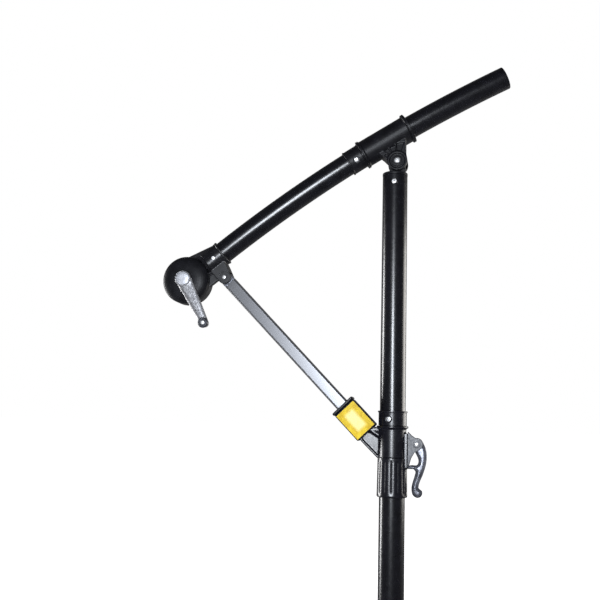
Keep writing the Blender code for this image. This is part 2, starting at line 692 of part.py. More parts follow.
def housing_ear_outline():
    """Side view of an ear: wide on the sleeve, round about the strut's pin."""
    outline = [housing_frame(6 * MM, -13 * MM), housing_frame(38 * MM, -13 * MM)]
    outline += [(PIN_TOP_X - 27.7 * MM, PIN_TOP_Z + 11.0 * MM)]
    outline += arc(PIN_TOP_X, PIN_TOP_Z, EAR_R, 222, 390, 18)
    outline += [(PIN_TOP_X + 3.8 * MM, PIN_TOP_Z + 22.4 * MM)]
    return outline


def housing_rivet_seat():
    """Where the rivet through the sleeve sits, a little above the front."""
    direction = arm_direction(HOUSING_FLANGE_X)
    up_side = Vector((-direction.z, 0, direction.x))
    outward = FRONT * math.cos(math.radians(8)) - up_side * math.sin(math.radians(8))
    centre = arm_point(HOUSING_FLANGE_X, -HOUSING_RIVET_S)
    return centre + outward * (HOUSING_SLEEVE_R - 0.8 * MM), outward


def screw_places():
    """(x, z) of the screws that hold the cover on the housing."""
    return [(DRUM_X + SCREW_RING_R * math.cos(math.radians(a)),
             DRUM_Z + SCREW_RING_R * math.sin(math.radians(a))) for a in SCREW_ANGLES]


def screw_holes(name, radius, y_a, y_b):
    return [rod(f"{name}_{i}", radius, *across(x, z, y_a, y_b), steps=12)
            for i, (x, z) in enumerate(screw_places())]


def make_cover():
    """Front half of the crank housing: a dome round the crank's hub."""
    centre = Vector((DRUM_X, 0, DRUM_Z))
    y_rim = DRUM_SPLIT - GAP
    dome = drum_profile(-16 * MM, DRUM_FRONT, 17.5 * MM)
    inside = drum_profile(-16 * MM, DRUM_FRONT + DRUM_WALL, 17.5 * MM, DRUM_WALL)
    hole_r = SHAFT_R + 3.0 * MM + GAP
    profile = [(DRUM_R, y_rim)] + dome
    profile += [(hole_r, DRUM_FRONT), (hole_r, DRUM_FRONT + DRUM_WALL)]
    profile += list(reversed(inside)) + [(DRUM_R - DRUM_WALL, y_rim)]
    cover = lathe("crank_cover", profile, centre, Vector((0, 1, 0)), BLACK_PLASTIC, steps=36, ring=True)
    posts = [rod(f"cover_post_{i}", 4.0 * MM, *across(x, z, y_rim, -20 * MM), steps=10)
             for i, (x, z) in enumerate(screw_places())]
    join(cover, *posts)
    cut(cover, *screw_holes("cover_screw_hole", 1.7 * MM, -15 * MM, 0))


def make_housing_screws():
    for i, (x, z) in enumerate(screw_places()):
        y_head = DRUM_BACK + GAP - 2.5 * MM
        profile = [(0, 2.0 * MM), (2.2 * MM, 1.9 * MM), (3.2 * MM, 1.0 * MM), (3.2 * MM, 0),
                   (1.4 * MM, 0), (1.4 * MM, -38 * MM), (0, -38 * MM)]
        lathe(f"cover_screw_{i + 1}", profile, Vector((x, y_head, z)), Vector((0, 1, 0)), STEEL, steps=10)


# ---------------------------------------------------------------- crank

def make_crank_train():
    """Shaft, its two bushes, the cord spool and the brake washer inside the housing."""
    centre = Vector((DRUM_X, 0, DRUM_Z))
    along = Vector((0, 1, 0))
    bush_in = SHAFT_R + GAP
    bush_out = SHAFT_R + 3.0 * MM
    flange = bush_out + 4 * MM
    inner_front = DRUM_FRONT + DRUM_WALL + GAP
    lathe("shaft_bush_front",
          [(flange, inner_front + 2.5 * MM), (flange, inner_front), (bush_out, inner_front),
           (bush_out, DRUM_FRONT + GAP), (bush_in, DRUM_FRONT + GAP), (bush_in, inner_front + 2.5 * MM)],
          centre, along, NYLON, steps=16, ring=True)
    inner_back = DRUM_BACK - DRUM_WALL - GAP
    lathe("shaft_bush_rear",
          [(bush_out, DRUM_BACK - GAP), (bush_out, inner_back), (flange, inner_back),
           (flange, inner_back - 2.5 * MM), (bush_in, inner_back - 2.5 * MM), (bush_in, DRUM_BACK - GAP)],
          centre, along, NYLON, steps=16, ring=True)
    rod("crank_shaft", SHAFT_R, *across(DRUM_X, DRUM_Z, CRANK_BACK + 1.5 * MM, DRUM_BACK - 1 * MM),
        STEEL, steps=24, chamfer=0.5 * MM)
    spool_in = SHAFT_R + GAP
    spool_r = 34 * MM
    spool = [(spool_r, 17 * MM), (spool_r, 15 * MM), (14 * MM, 14 * MM), (14 * MM, -15 * MM),
             (spool_r, -16 * MM), (spool_r, -18 * MM), (spool_in, -18 * MM), (spool_in, 17 * MM)]
    lathe("cord_spool", spool, centre, along, BLACK_PLASTIC, steps=24, ring=True)
    ring("brake_washer", 20 * MM, spool_in,
         *across(DRUM_X, DRUM_Z, 17 * MM + GAP, inner_back - 2.5 * MM - GAP), RUBBER, steps=20)


def on_crank(along, side):
    c, s = math.cos(CRANK_ANGLE), math.sin(CRANK_ANGLE)
    return (DRUM_X + along * c - side * s, DRUM_Z + along * s + side * c)


def make_crank():
    """Cast crank arm: round hub, tapered arm with a long groove, round end."""
    deg = math.degrees(CRANK_ANGLE)
    tip_x, tip_z = on_crank(CRANK_LENGTH, 0)
    tip_r = 7.6 * MM
    outline = arc(DRUM_X, DRUM_Z, HUB_R, deg + 82, deg + 278, 20)
    outline += arc(tip_x, tip_z, tip_r, deg - 84, deg + 84, 14)
    crank = plate("crank_arm", [outline], CRANK_FRONT, CRANK_BACK, CHROME)
    groove = [on_crank(20 * MM, -5.5 * MM), on_crank(84 * MM, -3.0 * MM),
              on_crank(84 * MM, 3.0 * MM), on_crank(20 * MM, 5.5 * MM)]
    back = plate("crank_back_hollow", [groove], CRANK_BACK - 3.0 * MM, CRANK_BACK + 3.0 * MM)
    hub = rod("crank_hub", HUB_R - 0.3 * MM,
              *across(DRUM_X, DRUM_Z, CRANK_FRONT - 2.6 * MM, CRANK_FRONT + 2 * MM), steps=40)
    hub_hole = rod("crank_hub_hole", SHAFT_R + GAP,
                   *across(DRUM_X, DRUM_Z, CRANK_BACK + 5 * MM, CRANK_BACK - 4.0 * MM), steps=24)
    screw_hole = rod("crank_screw_hole", 2.6 * MM, *across(DRUM_X, DRUM_Z, 0, -50 * MM), steps=16)
    pocket = rod("crank_cap_pocket", 13.6 * MM,
                 *across(DRUM_X, DRUM_Z, CRANK_FRONT - 0.4 * MM, CRANK_FRONT - 9 * MM), steps=40)
    screw_seat = rod("crank_screw_seat", 5.6 * MM,
                     *across(DRUM_X, DRUM_Z, CRANK_FRONT + 1.2 * MM, CRANK_FRONT - 9 * MM), steps=24)
    knob_hole = rod("crank_knob_hole", 2.5 * MM + GAP, *across(tip_x, tip_z, -20 * MM, -60 * MM), steps=16)
    join(crank, hub)
    cut(crank, back, hub_hole, screw_hole, pocket, screw_seat, knob_hole)
    seat_y = CRANK_FRONT + 1.2 * MM - GAP
    profile = [(0, 1.2 * MM), (3.4 * MM, 1.0 * MM), (4.6 * MM, 0.5 * MM), (4.6 * MM, 0),
               (2.2 * MM, 0), (2.2 * MM, -2.2 * MM), (0, -2.2 * MM)]
    lathe("crank_screw", profile, Vector((DRUM_X, seat_y, DRUM_Z)), FRONT, STEEL, steps=20)
    cap_back = CRANK_FRONT - 0.4 * MM - GAP
    lathe("crank_cap",
          [(0, 3.0 * MM), (7 * MM, 2.8 * MM), (11.4 * MM, 2.2 * MM), (13.2 * MM, 1.2 * MM),
           (13.2 * MM, 0), (0, 0)],
          Vector((DRUM_X, cap_back, DRUM_Z)), FRONT, NYLON, steps=28)
    return tip_x, tip_z


def make_knob(tip_x, tip_z):
    """Turned knob that spins on a riveted pin at the crank's end."""
    base = CRANK_FRONT - GAP
    hole_r = 2.5 * MM + GAP
    profile = [(4.9 * MM, 13.5 * MM), (8.6 * MM, 13.5 * MM), (9.8 * MM, 12.6 * MM), (10.2 * MM, 11.0 * MM),
               (10.0 * MM, 7.0 * MM), (8.4 * MM, 2.4 * MM), (8.2 * MM, 0), (hole_r, 0),
               (hole_r, 11.5 * MM), (4.9 * MM, 11.5 * MM)]
    lathe("crank_knob", profile, Vector((tip_x, base, tip_z)), FRONT, CHROME, steps=20, ring=True)
    head = base - 11.5 * MM - GAP
    profile = [(0, 1.6 * MM), (2.8 * MM, 1.4 * MM), (4.4 * MM, 0.6 * MM), (4.4 * MM, 0), (2.5 * MM, 0),
               (2.5 * MM, head - CRANK_BACK), (0, head - CRANK_BACK)]
    lathe("knob_pin", profile, Vector((tip_x, head, tip_z)), FRONT, STEEL, steps=20)


# ---------------------------------------------------------------- strut

def make_strut():
    tube_start = 15 * MM
    tube_end = STRUT_LENGTH - 20 * MM
    tube = strut_box("strut_tube", tube_start, tube_end, STRUT_WIDTH / 2, STRUT_HALF_Y, STRUT_PAINT)
    bevel(tube, 1.6 * MM, 3)
    inside = strut_box("strut_tube_inside", tube_start - 5 * MM, tube_end + 5 * MM,
                       STRUT_WIDTH / 2 - STRUT_WALL, STRUT_HALF_Y - STRUT_WALL)
    hole_x, hole_z = on_strut(STRUT_LENGTH - 33 * MM, 0)
    hole = rod("strut_screw_hole", 2.4 * MM, *across(hole_x, hole_z, -12 * MM, 25 * MM), steps=12)
    cut(tube, inside, hole)
    eye = rod("strut_top_eye", STRUT_WIDTH / 2 - 0.2 * MM,
              *across(PIN_TOP_X, PIN_TOP_Z, -STRUT_HALF_Y, STRUT_HALF_Y), GREY_CASTING, steps=32)
    shank_half = STRUT_WIDTH / 2 - STRUT_WALL - GAP
    shoulder = strut_box("eye_shoulder", 0, tube_start - GAP, STRUT_WIDTH / 2 - 0.4 * MM,
                         STRUT_HALF_Y - 0.2 * MM)
    shank = strut_box("eye_shank", 5 * MM, 45 * MM, shank_half, STRUT_HALF_Y - STRUT_WALL - GAP)
    eye_hole = rod("eye_hole", 3.0 * MM + GAP, *across(PIN_TOP_X, PIN_TOP_Z, -20 * MM, 20 * MM), steps=20)
    join(eye, shoulder, shank)
    cut(eye, eye_hole)
    pin("strut_top_pin", PIN_TOP_X, PIN_TOP_Z, -(EAR_OUT + GAP), EAR_OUT + 3.2 * MM,
        3.0 * MM, 4.0 * MM, 2.0 * MM)
    ring("strut_top_clip", 5.8 * MM, 3.0 * MM + GAP,
         *across(PIN_TOP_X, PIN_TOP_Z, EAR_OUT + GAP, EAR_OUT + GAP + 1.2 * MM), STEEL, steps=20)


def make_socket():
    """Box on the strut's lower end; its two cheeks straddle the collar's lug."""
    low = STRUT_LENGTH + SOCKET_BELOW_PIN
    high = low - SOCKET_LENGTH
    socket = strut_box("strut_socket", high, low, SOCKET_HALF, SOCKET_HALF_Y, BLACK_PLASTIC)
    bevel(socket, 2.0 * MM, 2)
    cavity_top = low - 33 * MM
    cavity = strut_box("socket_cavity", cavity_top, low + 5 * MM, SOCKET_HALF - SOCKET_WALL, SOCKET_IN_Y)
    mouth = strut_box("socket_mouth", low - 14 * MM, low + 5 * MM, SOCKET_HALF + 5 * MM, SOCKET_IN_Y)
    strut_hole = strut_box("socket_strut_hole", high - 5 * MM, STRUT_LENGTH - 20 * MM + GAP,
                           STRUT_WIDTH / 2 + GAP, STRUT_HALF_Y + GAP)
    pin_hole = rod("socket_pin_hole", 4.0 * MM + GAP, *across(PIN_LOW_X, PIN_LOW_Z, -25 * MM, 25 * MM),
                   steps=20)
    screw_x, screw_z = on_strut(STRUT_LENGTH - 33 * MM, 0)
    screw_hole = rod("socket_screw_hole", 2.4 * MM, *across(screw_x, screw_z, 0, 25 * MM), steps=12)
    cut(socket, cavity, mouth, strut_hole, pin_hole, screw_hole)
    rim = strut_box("socket_rim", high - GAP - RIM_THICK, high - GAP, SOCKET_HALF + 1.3 * MM,
                    SOCKET_HALF_Y + 0.8 * MM, BLACK_PLASTIC)
    bevel(rim, 1.4 * MM, 2)
    rim_hole = strut_box("rim_hole", high - 20 * MM, high + 5 * MM,
                         STRUT_WIDTH / 2 + GAP, STRUT_HALF_Y + GAP)
    cut(rim, rim_hole)
    label_low = low - 1.6 * MM
    label = strut_box("yellow_label", label_low - 60 * MM, label_low, 22.3 * MM, 0.35 * MM, YELLOW_FILM)
    label.location.y = -(SOCKET_HALF_Y + GAP + 0.35 * MM)
    pin("strut_lower_pin", PIN_LOW_X, PIN_LOW_Z, SOCKET_HALF_Y + GAP, -(SOCKET_HALF_Y - 0.6 * MM),
        4.0 * MM, 7.0 * MM, 3.0 * MM)
    pin("socket_screw", screw_x, screw_z, SOCKET_HALF_Y + GAP, 3.0 * MM, 2.0 * MM, 4.0 * MM, 2.0 * MM)


# ---------------------------------------------------------------- collar

def lug_outline():
    """Side view of the collar's lug, from the collar out to its eye."""
    eye_r = 13.2 * MM
    outline = [(-20 * MM, COLLAR_SEAM - 2.8 * MM), (-25.6 * MM, COLLAR_SEAM - 2.8 * MM)]
    outline += [(-57.6 * MM, 303.4 * MM)]
    outline += arc(PIN_LOW_X, PIN_LOW_Z, eye_r, 206, 62, 14)
    outline += [(-30 * MM, COLLAR_SHOULDER), (-20 * MM, COLLAR_SHOULDER)]
    return outline


def make_collar():
    """Cast collar body with the strut's lug on the left and the lever's boss on the right."""
    seam = COLLAR_SEAM + GAP
    top = COLLAR_SHOULDER + SHOULDER_THICK
    profile = [(SHOULDER_R - 1.0 * MM, top), (SHOULDER_R, top - 1.0 * MM),
               (SHOULDER_R, COLLAR_SHOULDER + 0.8 * MM), (COLLAR_R + 1.6 * MM, COLLAR_SHOULDER - 0.4 * MM),
               (COLLAR_R, COLLAR_SHOULDER - 2.0 * MM), (COLLAR_R, seam), (21 * MM, seam), (21 * MM, top)]
    collar = lathe("collar_body", profile, Vector((0, 0, 0)), UP, BLACK_PLASTIC, steps=36, ring=True)
    lug = plate("collar_lug", [lug_outline()], -LUG_HALF_Y, LUG_HALF_Y)
    boss = block("collar_boss", Vector((BOSS_X / 2 + 9 * MM, 0, (BOSS_LOW + BOSS_HIGH) / 2)),
                 (BOSS_X - 18 * MM, 2 * BOSS_HALF_Y, BOSS_HIGH - BOSS_LOW))
    join(collar, lug, boss)
    pocket = [(-48.5 * MM, 308.0 * MM), (-38.0 * MM, 319.5 * MM), (-27.6 * MM, 322.5 * MM),
              (-24.0 * MM, 318.0 * MM), (-24.0 * MM, 284.5 * MM)]
    pockets = [plate(f"lug_pocket_{i}", [pocket], *sorted((side * 5.0 * MM, side * 20 * MM)))
               for i, side in enumerate((-1, 1))]
    eye = rod("lug_eye", LUG_EYE_R, *across(PIN_LOW_X, PIN_LOW_Z, -20 * MM, 20 * MM), steps=28)
    slit_z = 301.0 * MM
    slit = block("boss_slit", Vector((BOSS_X, 0, slit_z)), (9 * MM, 40 * MM, 1.2 * MM))
    window = block("boss_window", Vector((BOSS_X, 0, (SHOE_LOW + SHOE_HIGH) / 2)),
                   (30 * MM, 2 * BRACKET_IN, SHOE_HIGH - SHOE_LOW + 0.8 * MM))
    bore = rod("collar_bore", COLLAR_BORE, UP * 0.2, UP * 0.4, steps=36)
    cut(collar, *pockets, eye, slit, window, bore, *bracket_screw_holes("collar_screw_hole", 1.6 * MM))


def make_collar_neck():
    start = COLLAR_SHOULDER + SHOULDER_THICK + GAP
    profile = [(27.0 * MM, NECK_TOP), (27.6 * MM, NECK_TOP - 0.6 * MM), (27.6 * MM, NECK_TOP - 2.6 * MM),
               (COLLAR_NECK_R, NECK_TOP - 3.4 * MM), (COLLAR_NECK_R, start), (COLLAR_BORE, start),
               (COLLAR_BORE, NECK_TOP)]
    neck = lathe("collar_neck_bush", profile, Vector((0, 0, 0)), UP, BLACK_PLASTIC, steps=36, ring=True)
    turn = math.radians(-13)
    outward = Vector((math.sin(turn), -math.cos(turn), 0))
    centre = UP * (345.9 * MM)
    spot = rod("collar_spot", 6.8 * MM, centre + outward * (COLLAR_NECK_R - 0.9 * MM),
               centre + outward * 34 * MM, steps=16)
    hole = rod("collar_rivet_hole", 2.0 * MM, centre + outward * 20 * MM,
               centre + outward * 34 * MM, steps=12)
    cut(neck, spot, hole)
    rivet("collar_rivet", centre + outward * (COLLAR_NECK_R - 0.6 * MM), outward,
          5.0 * MM, 1.7 * MM, 0.9 * MM)


def make_grip():
    """Fluted hand grip below the collar, a little wider at its foot."""
    around = GRIP_FLUTES * 5
    outer_rings = (0.0, 0.015, 0.05, 0.95, 1.0)
    inner_rings = (0.0, 1.0)
    bm = bmesh.new()
    loops = []
    for outer, rings in ((True, outer_rings), (False, inner_rings)):
        for t in rings:
            z = GRIP_BOTTOM + t * (COLLAR_SEAM - GRIP_BOTTOM)
            loop = []
            for i in range(around):
                a = 2 * math.pi * i / around
                r = COLLAR_BORE
                if outer:
                    swell = GRIP_LOW_R + (GRIP_TOP_R - GRIP_LOW_R) * t
                    wave = 0.5 + 0.5 * math.cos(GRIP_FLUTES * a)
                    depth = 0.9 * MM * (1.0 if 0.04 < t < 0.96 else 0.0)
                    rounding = 0.9 * MM if t == 0.0 else 0.0
                    r = swell - depth * (1 - wave) - rounding
                loop.append(bm.verts.new((r * math.cos(a), r * math.sin(a), z)))
            loops.append(loop)
    outer_loops = loops[:len(outer_rings)]
    inner_loops = loops[len(outer_rings):]
    order = outer_loops + list(reversed(inner_loops))
    for lower, upper in zip(order, order[1:] + order[:1]):
        for i in range(around):
            j = (i + 1) % around
            bm.faces.new((lower[i], lower[j], upper[j], upper[i]))
    bmesh.ops.recalc_face_normals(bm, faces=bm.faces)
    mesh = bpy.data.meshes.new("collar_grip")
    bm.to_mesh(mesh)
    bm.free()
    grip = place(bpy.data.objects.new("collar_grip", mesh), BLACK_PLASTIC)
    notch_low = BOSS_LOW - 3.0 * MM
    notch = block("grip_notch", Vector((35 * MM, 0, (notch_low + COLLAR_SEAM) / 2 + 5 * MM)),
                  (34 * MM, 2 * BOSS_HALF_Y + 0.6 * MM, COLLAR_SEAM - notch_low + 10 * MM))
    lug_notch = block("grip_lug_notch", Vector((-35 * MM, 0, COLLAR_SEAM)),
                      (30 * MM, 2 * LUG_HALF_Y + 0.6 * MM, 6.4 * MM))
    cut(grip, notch, lug_notch)


# ---------------------------------------------------------------- brake lever

def bracket_screw_holes(name, radius):
    return [rod(f"{name}_{i}", radius, Vector((BOSS_X - 3.6 * MM, 0, z)),
                Vector((BOSS_X + 12 * MM, 0, z)), steps=12)
            for i, z in enumerate(BRACKET_SCREW_Z)]


def make_lever_bracket():
    """Grey fork on the collar's boss that holds the lever's pin."""
    base_x = BOSS_X + GAP
    ear = [(base_x, 257.2 * MM), (base_x, 323.5 * MM), (36.0 * MM, 316.4 * MM)]
    ear += arc(PIVOT_X, PIVOT_Z, 11.2 * MM, 104, -62, 16)
    ear += [(40.4 * MM, 285.0 * MM), (34.4 * MM, 274.0 * MM), (31.6 * MM, 263.6 * MM)]
    bracket = plate("lever_bracket", [ear], -BRACKET_OUT, BRACKET_OUT, GREY_CASTING)
    inside_x = base_x + 2.4 * MM
    gap = [(inside_x, 268.0 * MM), (base_x - 5 * MM, 268.0 * MM), (base_x - 5 * MM, 240 * MM),
           (80 * MM, 240 * MM), (80 * MM, 330 * MM), (44.0 * MM, 330 * MM),
           (38.0 * MM, 315.4 * MM), (inside_x, 318.0 * MM)]
    slot = plate("bracket_slot_inside", [gap], -BRACKET_IN, BRACKET_IN)
    hole = rod("bracket_lever_hole", LEVER_PIN_R + GAP,
               *across(PIVOT_X, PIVOT_Z, -20 * MM, 20 * MM), steps=20)
    cut(bracket, slot, hole, *bracket_screw_holes("bracket_screw_hole", 1.6 * MM))
    for i, z in enumerate(BRACKET_SCREW_Z):
        profile = [(0, 1.6 * MM), (2.0 * MM, 1.4 * MM), (2.8 * MM, 0.6 * MM), (2.8 * MM, 0),
                   (1.3 * MM, 0), (1.3 * MM, -5.6 * MM), (0, -5.6 * MM)]
        lathe(f"bracket_screw_{i + 1}", profile, Vector((inside_x + GAP, 0, z)), Vector((1, 0, 0)),
              STEEL, steps=10)


def make_lever():
    """Cast lever: eye on the pin, brake finger on the left, curved tail with a hooked end."""
    points = [(44.0, 311.0, False), (54.3, 307.6, False), (62.4, 290.5, False), (63.2, 270.5, False),
              (57.8, 249.1, False), (50.8, 231.6, False), (49.2, 221.6, False), (55.6, 215.4, False),
              (54.0, 207.2, False), (46.2, 204.0, False), (37.9, 209.6, False), (36.2, 224.0, False),
              (41.4, 243.0, False), (43.0, 251.0, False), (39.4, 255.6, True), (28.0, 255.6, True),
              (28.0, 261.2, True), (36.0, 262.6, False), (45.6, 263.0, False), (48.4, 272.5, False),
              (42.0, 287.0, False), (36.0, 297.5, False), (37.0, 307.0, False)]
    lever = smooth_outline("lever", [(x * MM, z * MM, sharp) for x, z, sharp in points],
                           -LEVER_HALF_Y, LEVER_HALF_Y, GREY_CASTING, resolution=3)
    bevel(lever, 1.8 * MM, 1, angle=50)
    hole = rod("lever_pin_hole", LEVER_PIN_R + GAP, *across(PIVOT_X, PIVOT_Z, -20 * MM, 20 * MM), steps=20)
    spring_room = rod("lever_spring_room", 7.4 * MM,
                      *across(PIVOT_X, PIVOT_Z, 2.6 * MM, LEVER_HALF_Y + 2 * MM), steps=24)
    cut(lever, hole, spring_room)
    pin("lever_pin", PIVOT_X, PIVOT_Z, -(BRACKET_OUT + GAP), BRACKET_OUT + 2.6 * MM,
        LEVER_PIN_R, 3.9 * MM, 1.8 * MM)
    ring("lever_pin_clip", 5.2 * MM, LEVER_PIN_R + GAP,
         *across(PIVOT_X, PIVOT_Z, BRACKET_OUT + GAP, BRACKET_OUT + GAP + 1.0 * MM), STEEL, steps=20)


def make_lever_spring():
    """Coil round the lever's pin that pulls the tail back to the grip."""
    curve = bpy.data.curves.new("lever_spring", "CURVE")
    curve.dimensions = "3D"
    wire_r = 0.5 * MM
    curve.bevel_depth = wire_r
    curve.bevel_resolution = 1
    curve.use_fill_caps = True
    turns = 2.5
    steps = 30
    spline = curve.splines.new("POLY")
    spline.points.add(steps)
    coil_r = 5.0 * MM
    for i, point in enumerate(spline.points):
        a = 2 * math.pi * turns * i / steps
        y = 3.6 * MM + (BRACKET_IN - 1.0 * MM - 3.6 * MM) * i / steps
        point.co = (PIVOT_X + coil_r * math.cos(a), y, PIVOT_Z + coil_r * math.sin(a), 1)
    place(baked(bpy.data.objects.new("lever_spring", curve)), STEEL)


def make_brake_shoe():
    """Rubber-faced block in the collar's window that the lever's finger presses on the mast."""
    depth = 3.2 * MM
    x_out = 27.7 * MM
    shoe = block("brake_shoe", Vector((x_out - depth / 2 - 0.6 * MM, 0, (SHOE_LOW + SHOE_HIGH) / 2)),
                 (depth + 1.2 * MM, 2 * LEVER_HALF_Y, SHOE_HIGH - SHOE_LOW), RUBBER)
    face = rod("shoe_face", MAST_R + GAP, UP * 0.24, UP * 0.28, steps=64)
    cut(shoe, face)


# ---------------------------------------------------------------- build

def main():
    make_mast_head(make_mast())
    arm = make_arm()
    sleeve_end = make_arm_bracket()
    neck_hole = make_arm_neck(sleeve_end)
    cut(arm, neck_hole)
    make_top_hinge()
    housing_hole = make_housing()
    cut(arm, housing_hole)
    make_cover()
    make_housing_screws()
    make_crank_train()
    make_knob(*make_crank())
    make_strut()
    make_socket()
    make_collar()
    make_collar_neck()
    make_grip()
    make_lever_bracket()
    make_lever()
    make_lever_spring()
    make_brake_shoe()


main()
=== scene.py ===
"""Looks of the umbrella swivel bracket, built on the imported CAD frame.

Metres, +Z up, the front faces -Y, the origin is the middle of the mast's foot.
Turned pieces are spun from profiles, and castings are made from their CAD solids
with finer skins, softened all over the way a moulding is.
"""

import json
import math

import bmesh
import bpy
import numpy as np
from mathutils import Matrix, Vector

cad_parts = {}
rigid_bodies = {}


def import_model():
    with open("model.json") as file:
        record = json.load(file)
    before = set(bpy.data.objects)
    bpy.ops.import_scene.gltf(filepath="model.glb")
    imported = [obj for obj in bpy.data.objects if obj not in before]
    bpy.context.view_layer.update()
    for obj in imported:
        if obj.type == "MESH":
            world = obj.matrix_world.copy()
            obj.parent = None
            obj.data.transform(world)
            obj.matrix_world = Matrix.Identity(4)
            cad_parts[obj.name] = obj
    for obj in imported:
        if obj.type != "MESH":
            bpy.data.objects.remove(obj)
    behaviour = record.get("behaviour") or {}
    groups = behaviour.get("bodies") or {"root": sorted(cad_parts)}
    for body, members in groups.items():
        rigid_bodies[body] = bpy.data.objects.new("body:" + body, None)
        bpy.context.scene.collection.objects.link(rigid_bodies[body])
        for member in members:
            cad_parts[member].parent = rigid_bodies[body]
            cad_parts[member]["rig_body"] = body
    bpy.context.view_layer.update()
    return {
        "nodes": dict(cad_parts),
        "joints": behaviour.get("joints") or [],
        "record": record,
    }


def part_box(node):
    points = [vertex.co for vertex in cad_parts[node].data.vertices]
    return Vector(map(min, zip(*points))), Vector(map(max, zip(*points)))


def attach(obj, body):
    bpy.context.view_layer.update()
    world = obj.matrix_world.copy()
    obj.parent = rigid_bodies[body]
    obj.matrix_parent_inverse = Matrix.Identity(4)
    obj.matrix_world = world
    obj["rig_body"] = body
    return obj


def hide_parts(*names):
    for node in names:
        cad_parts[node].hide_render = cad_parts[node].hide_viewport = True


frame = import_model()

MM = 0.001
FRONT = Vector((0, -1, 0))
UP = Vector((0, 0, 1))
JOINT = {joint["name"]: Vector(joint["pos_m"]) for joint in frame["joints"] if "pos_m" in joint}


# ---------------------------------------------------------------- camera, lights, floor

CAMERA_AT = Vector((0.103, -1.557, 0.345))
CAMERA_YAW = math.radians(10.39)
CAMERA_PITCH = math.radians(8.14)
CAMERA_ROLL = math.radians(-1.54)
CAMERA_LENS = 49.14
CAMERA_SENSOR = 36.0
ROOM_FRONT, ROOM_BACK = 0.05, 0.30
PAPER_HALF = 30.0
PAPER_Z = -0.0006
PAPER_GREY = 0.80
PAPER_GLOW = 0.975
WHITE = (1, 1, 1, 1)

# name, place, aim, width, height, power, colour
LIGHTS = [("front_box", (-0.09, -1.85, 0.55), (-0.08, 0, 0.55), 0.38, 0.64, 39, (0.88, 0.93, 1.0)),
          ("left_panel", (-2.4, 0.55, 0.40), (0, 0, 0.40), 0.50, 1.5, 58, (1, 1, 1)),
          ("right_panel", (2.0, 1.2, 0.62), (0, 0, 0.6), 1.7, 1.2, 42, (1.0, 0.97, 0.92))]


def linked(name, data):
    obj = bpy.data.objects.new(name, data)
    bpy.context.scene.collection.objects.link(obj)
    return obj


def make_camera():
    data = bpy.data.cameras.new("camera")
    data.sensor_width = CAMERA_SENSOR
    data.lens = CAMERA_LENS
    camera = linked("camera", data)
    turn = (Matrix.Rotation(CAMERA_YAW, 3, "Z") @ Matrix.Rotation(CAMERA_PITCH, 3, "X")
            @ Matrix.Rotation(CAMERA_ROLL, 3, "Y"))
    look_up = Matrix.Rotation(math.radians(90), 3, "X")
    camera.matrix_world = Matrix.Translation(CAMERA_AT) @ (turn @ look_up).to_4x4()
    bpy.context.scene.camera = camera


def make_softbox(name, place, aim, width, height, power, colour):
    data = bpy.data.lights.new(name, "AREA")
    data.shape = "RECTANGLE"
    data.size = width
    data.size_y = height
    data.energy = power
    data.color = colour
    light = linked(name, data)
    direction = Vector(aim) - Vector(place)
    light.matrix_world = (Matrix.Translation(Vector(place))
                          @ direction.to_track_quat("-Z", "Y").to_matrix().to_4x4())
    light.visible_camera = False


def make_world():
    """White to look at, and a dark room to reflect, lighter at the back."""
    world = bpy.data.worlds.new("studio")
    bpy.context.scene.world = world
    world.use_nodes = True
    tree = world.node_tree
    tree.nodes.clear()
    output = tree.nodes.new("ShaderNodeOutputWorld")
    seen = tree.nodes.new("ShaderNodeBackground")
    seen.inputs["Color"].default_value = WHITE
    seen.inputs["Strength"].default_value = 1.0
    room = tree.nodes.new("ShaderNodeBackground")
    coords = tree.nodes.new("ShaderNodeTexCoord")
    split = tree.nodes.new("ShaderNodeSeparateXYZ")
    tree.links.new(coords.outputs["Generated"], split.inputs[0])
    strength = ramp(tree, split.outputs["Y"], ROOM_FRONT, ROOM_BACK, 0.1, 0.9)
    tree.links.new(strength, room.inputs["Strength"])
    path = tree.nodes.new("ShaderNodeLightPath")
    mix = tree.nodes.new("ShaderNodeMixShader")
    tree.links.new(path.outputs["Is Camera Ray"], mix.inputs["Fac"])
    tree.links.new(room.outputs[0], mix.inputs[1])
    tree.links.new(seen.outputs[0], mix.inputs[2])
    tree.links.new(mix.outputs[0], output.inputs["Surface"])


def make_floor():
    """White paper that casts no shadow and isn't reflected."""
    half = PAPER_HALF
    mesh = bpy.data.meshes.new("floor")
    mesh.from_pydata([(-half, -half, 0), (half, -half, 0), (half, half, 0), (-half, half, 0)], [],
                     [(0, 1, 2, 3)])
    floor = linked("floor", mesh)
    floor.location.z = PAPER_Z
    material = bpy.data.materials.new("floor_paper")
    material.use_nodes = True
    shader = material.node_tree.nodes["Principled BSDF"]
    shader.inputs["Base Color"].default_value = (PAPER_GREY, PAPER_GREY, PAPER_GREY, 1)
    shader.inputs["Roughness"].default_value = 0.9
    shader.inputs["Emission Color"].default_value = WHITE
    shader.inputs["Emission Strength"].default_value = PAPER_GLOW
    mesh.materials.append(material)
    floor.visible_glossy = False
    floor.visible_shadow = False


# ---------------------------------------------------------------- materials

def noise_field(tree, scale, detail=3.0, roughness=0.5):
    """A noise in object space."""
    coords = tree.nodes.new("ShaderNodeTexCoord")
    noise = tree.nodes.new("ShaderNodeTexNoise")
    noise.inputs["Scale"].default_value = scale
    noise.inputs["Detail"].default_value = detail
    noise.inputs["Roughness"].default_value = roughness
    tree.links.new(coords.outputs["Object"], noise.inputs["Vector"])
    return noise.outputs["Fac"]


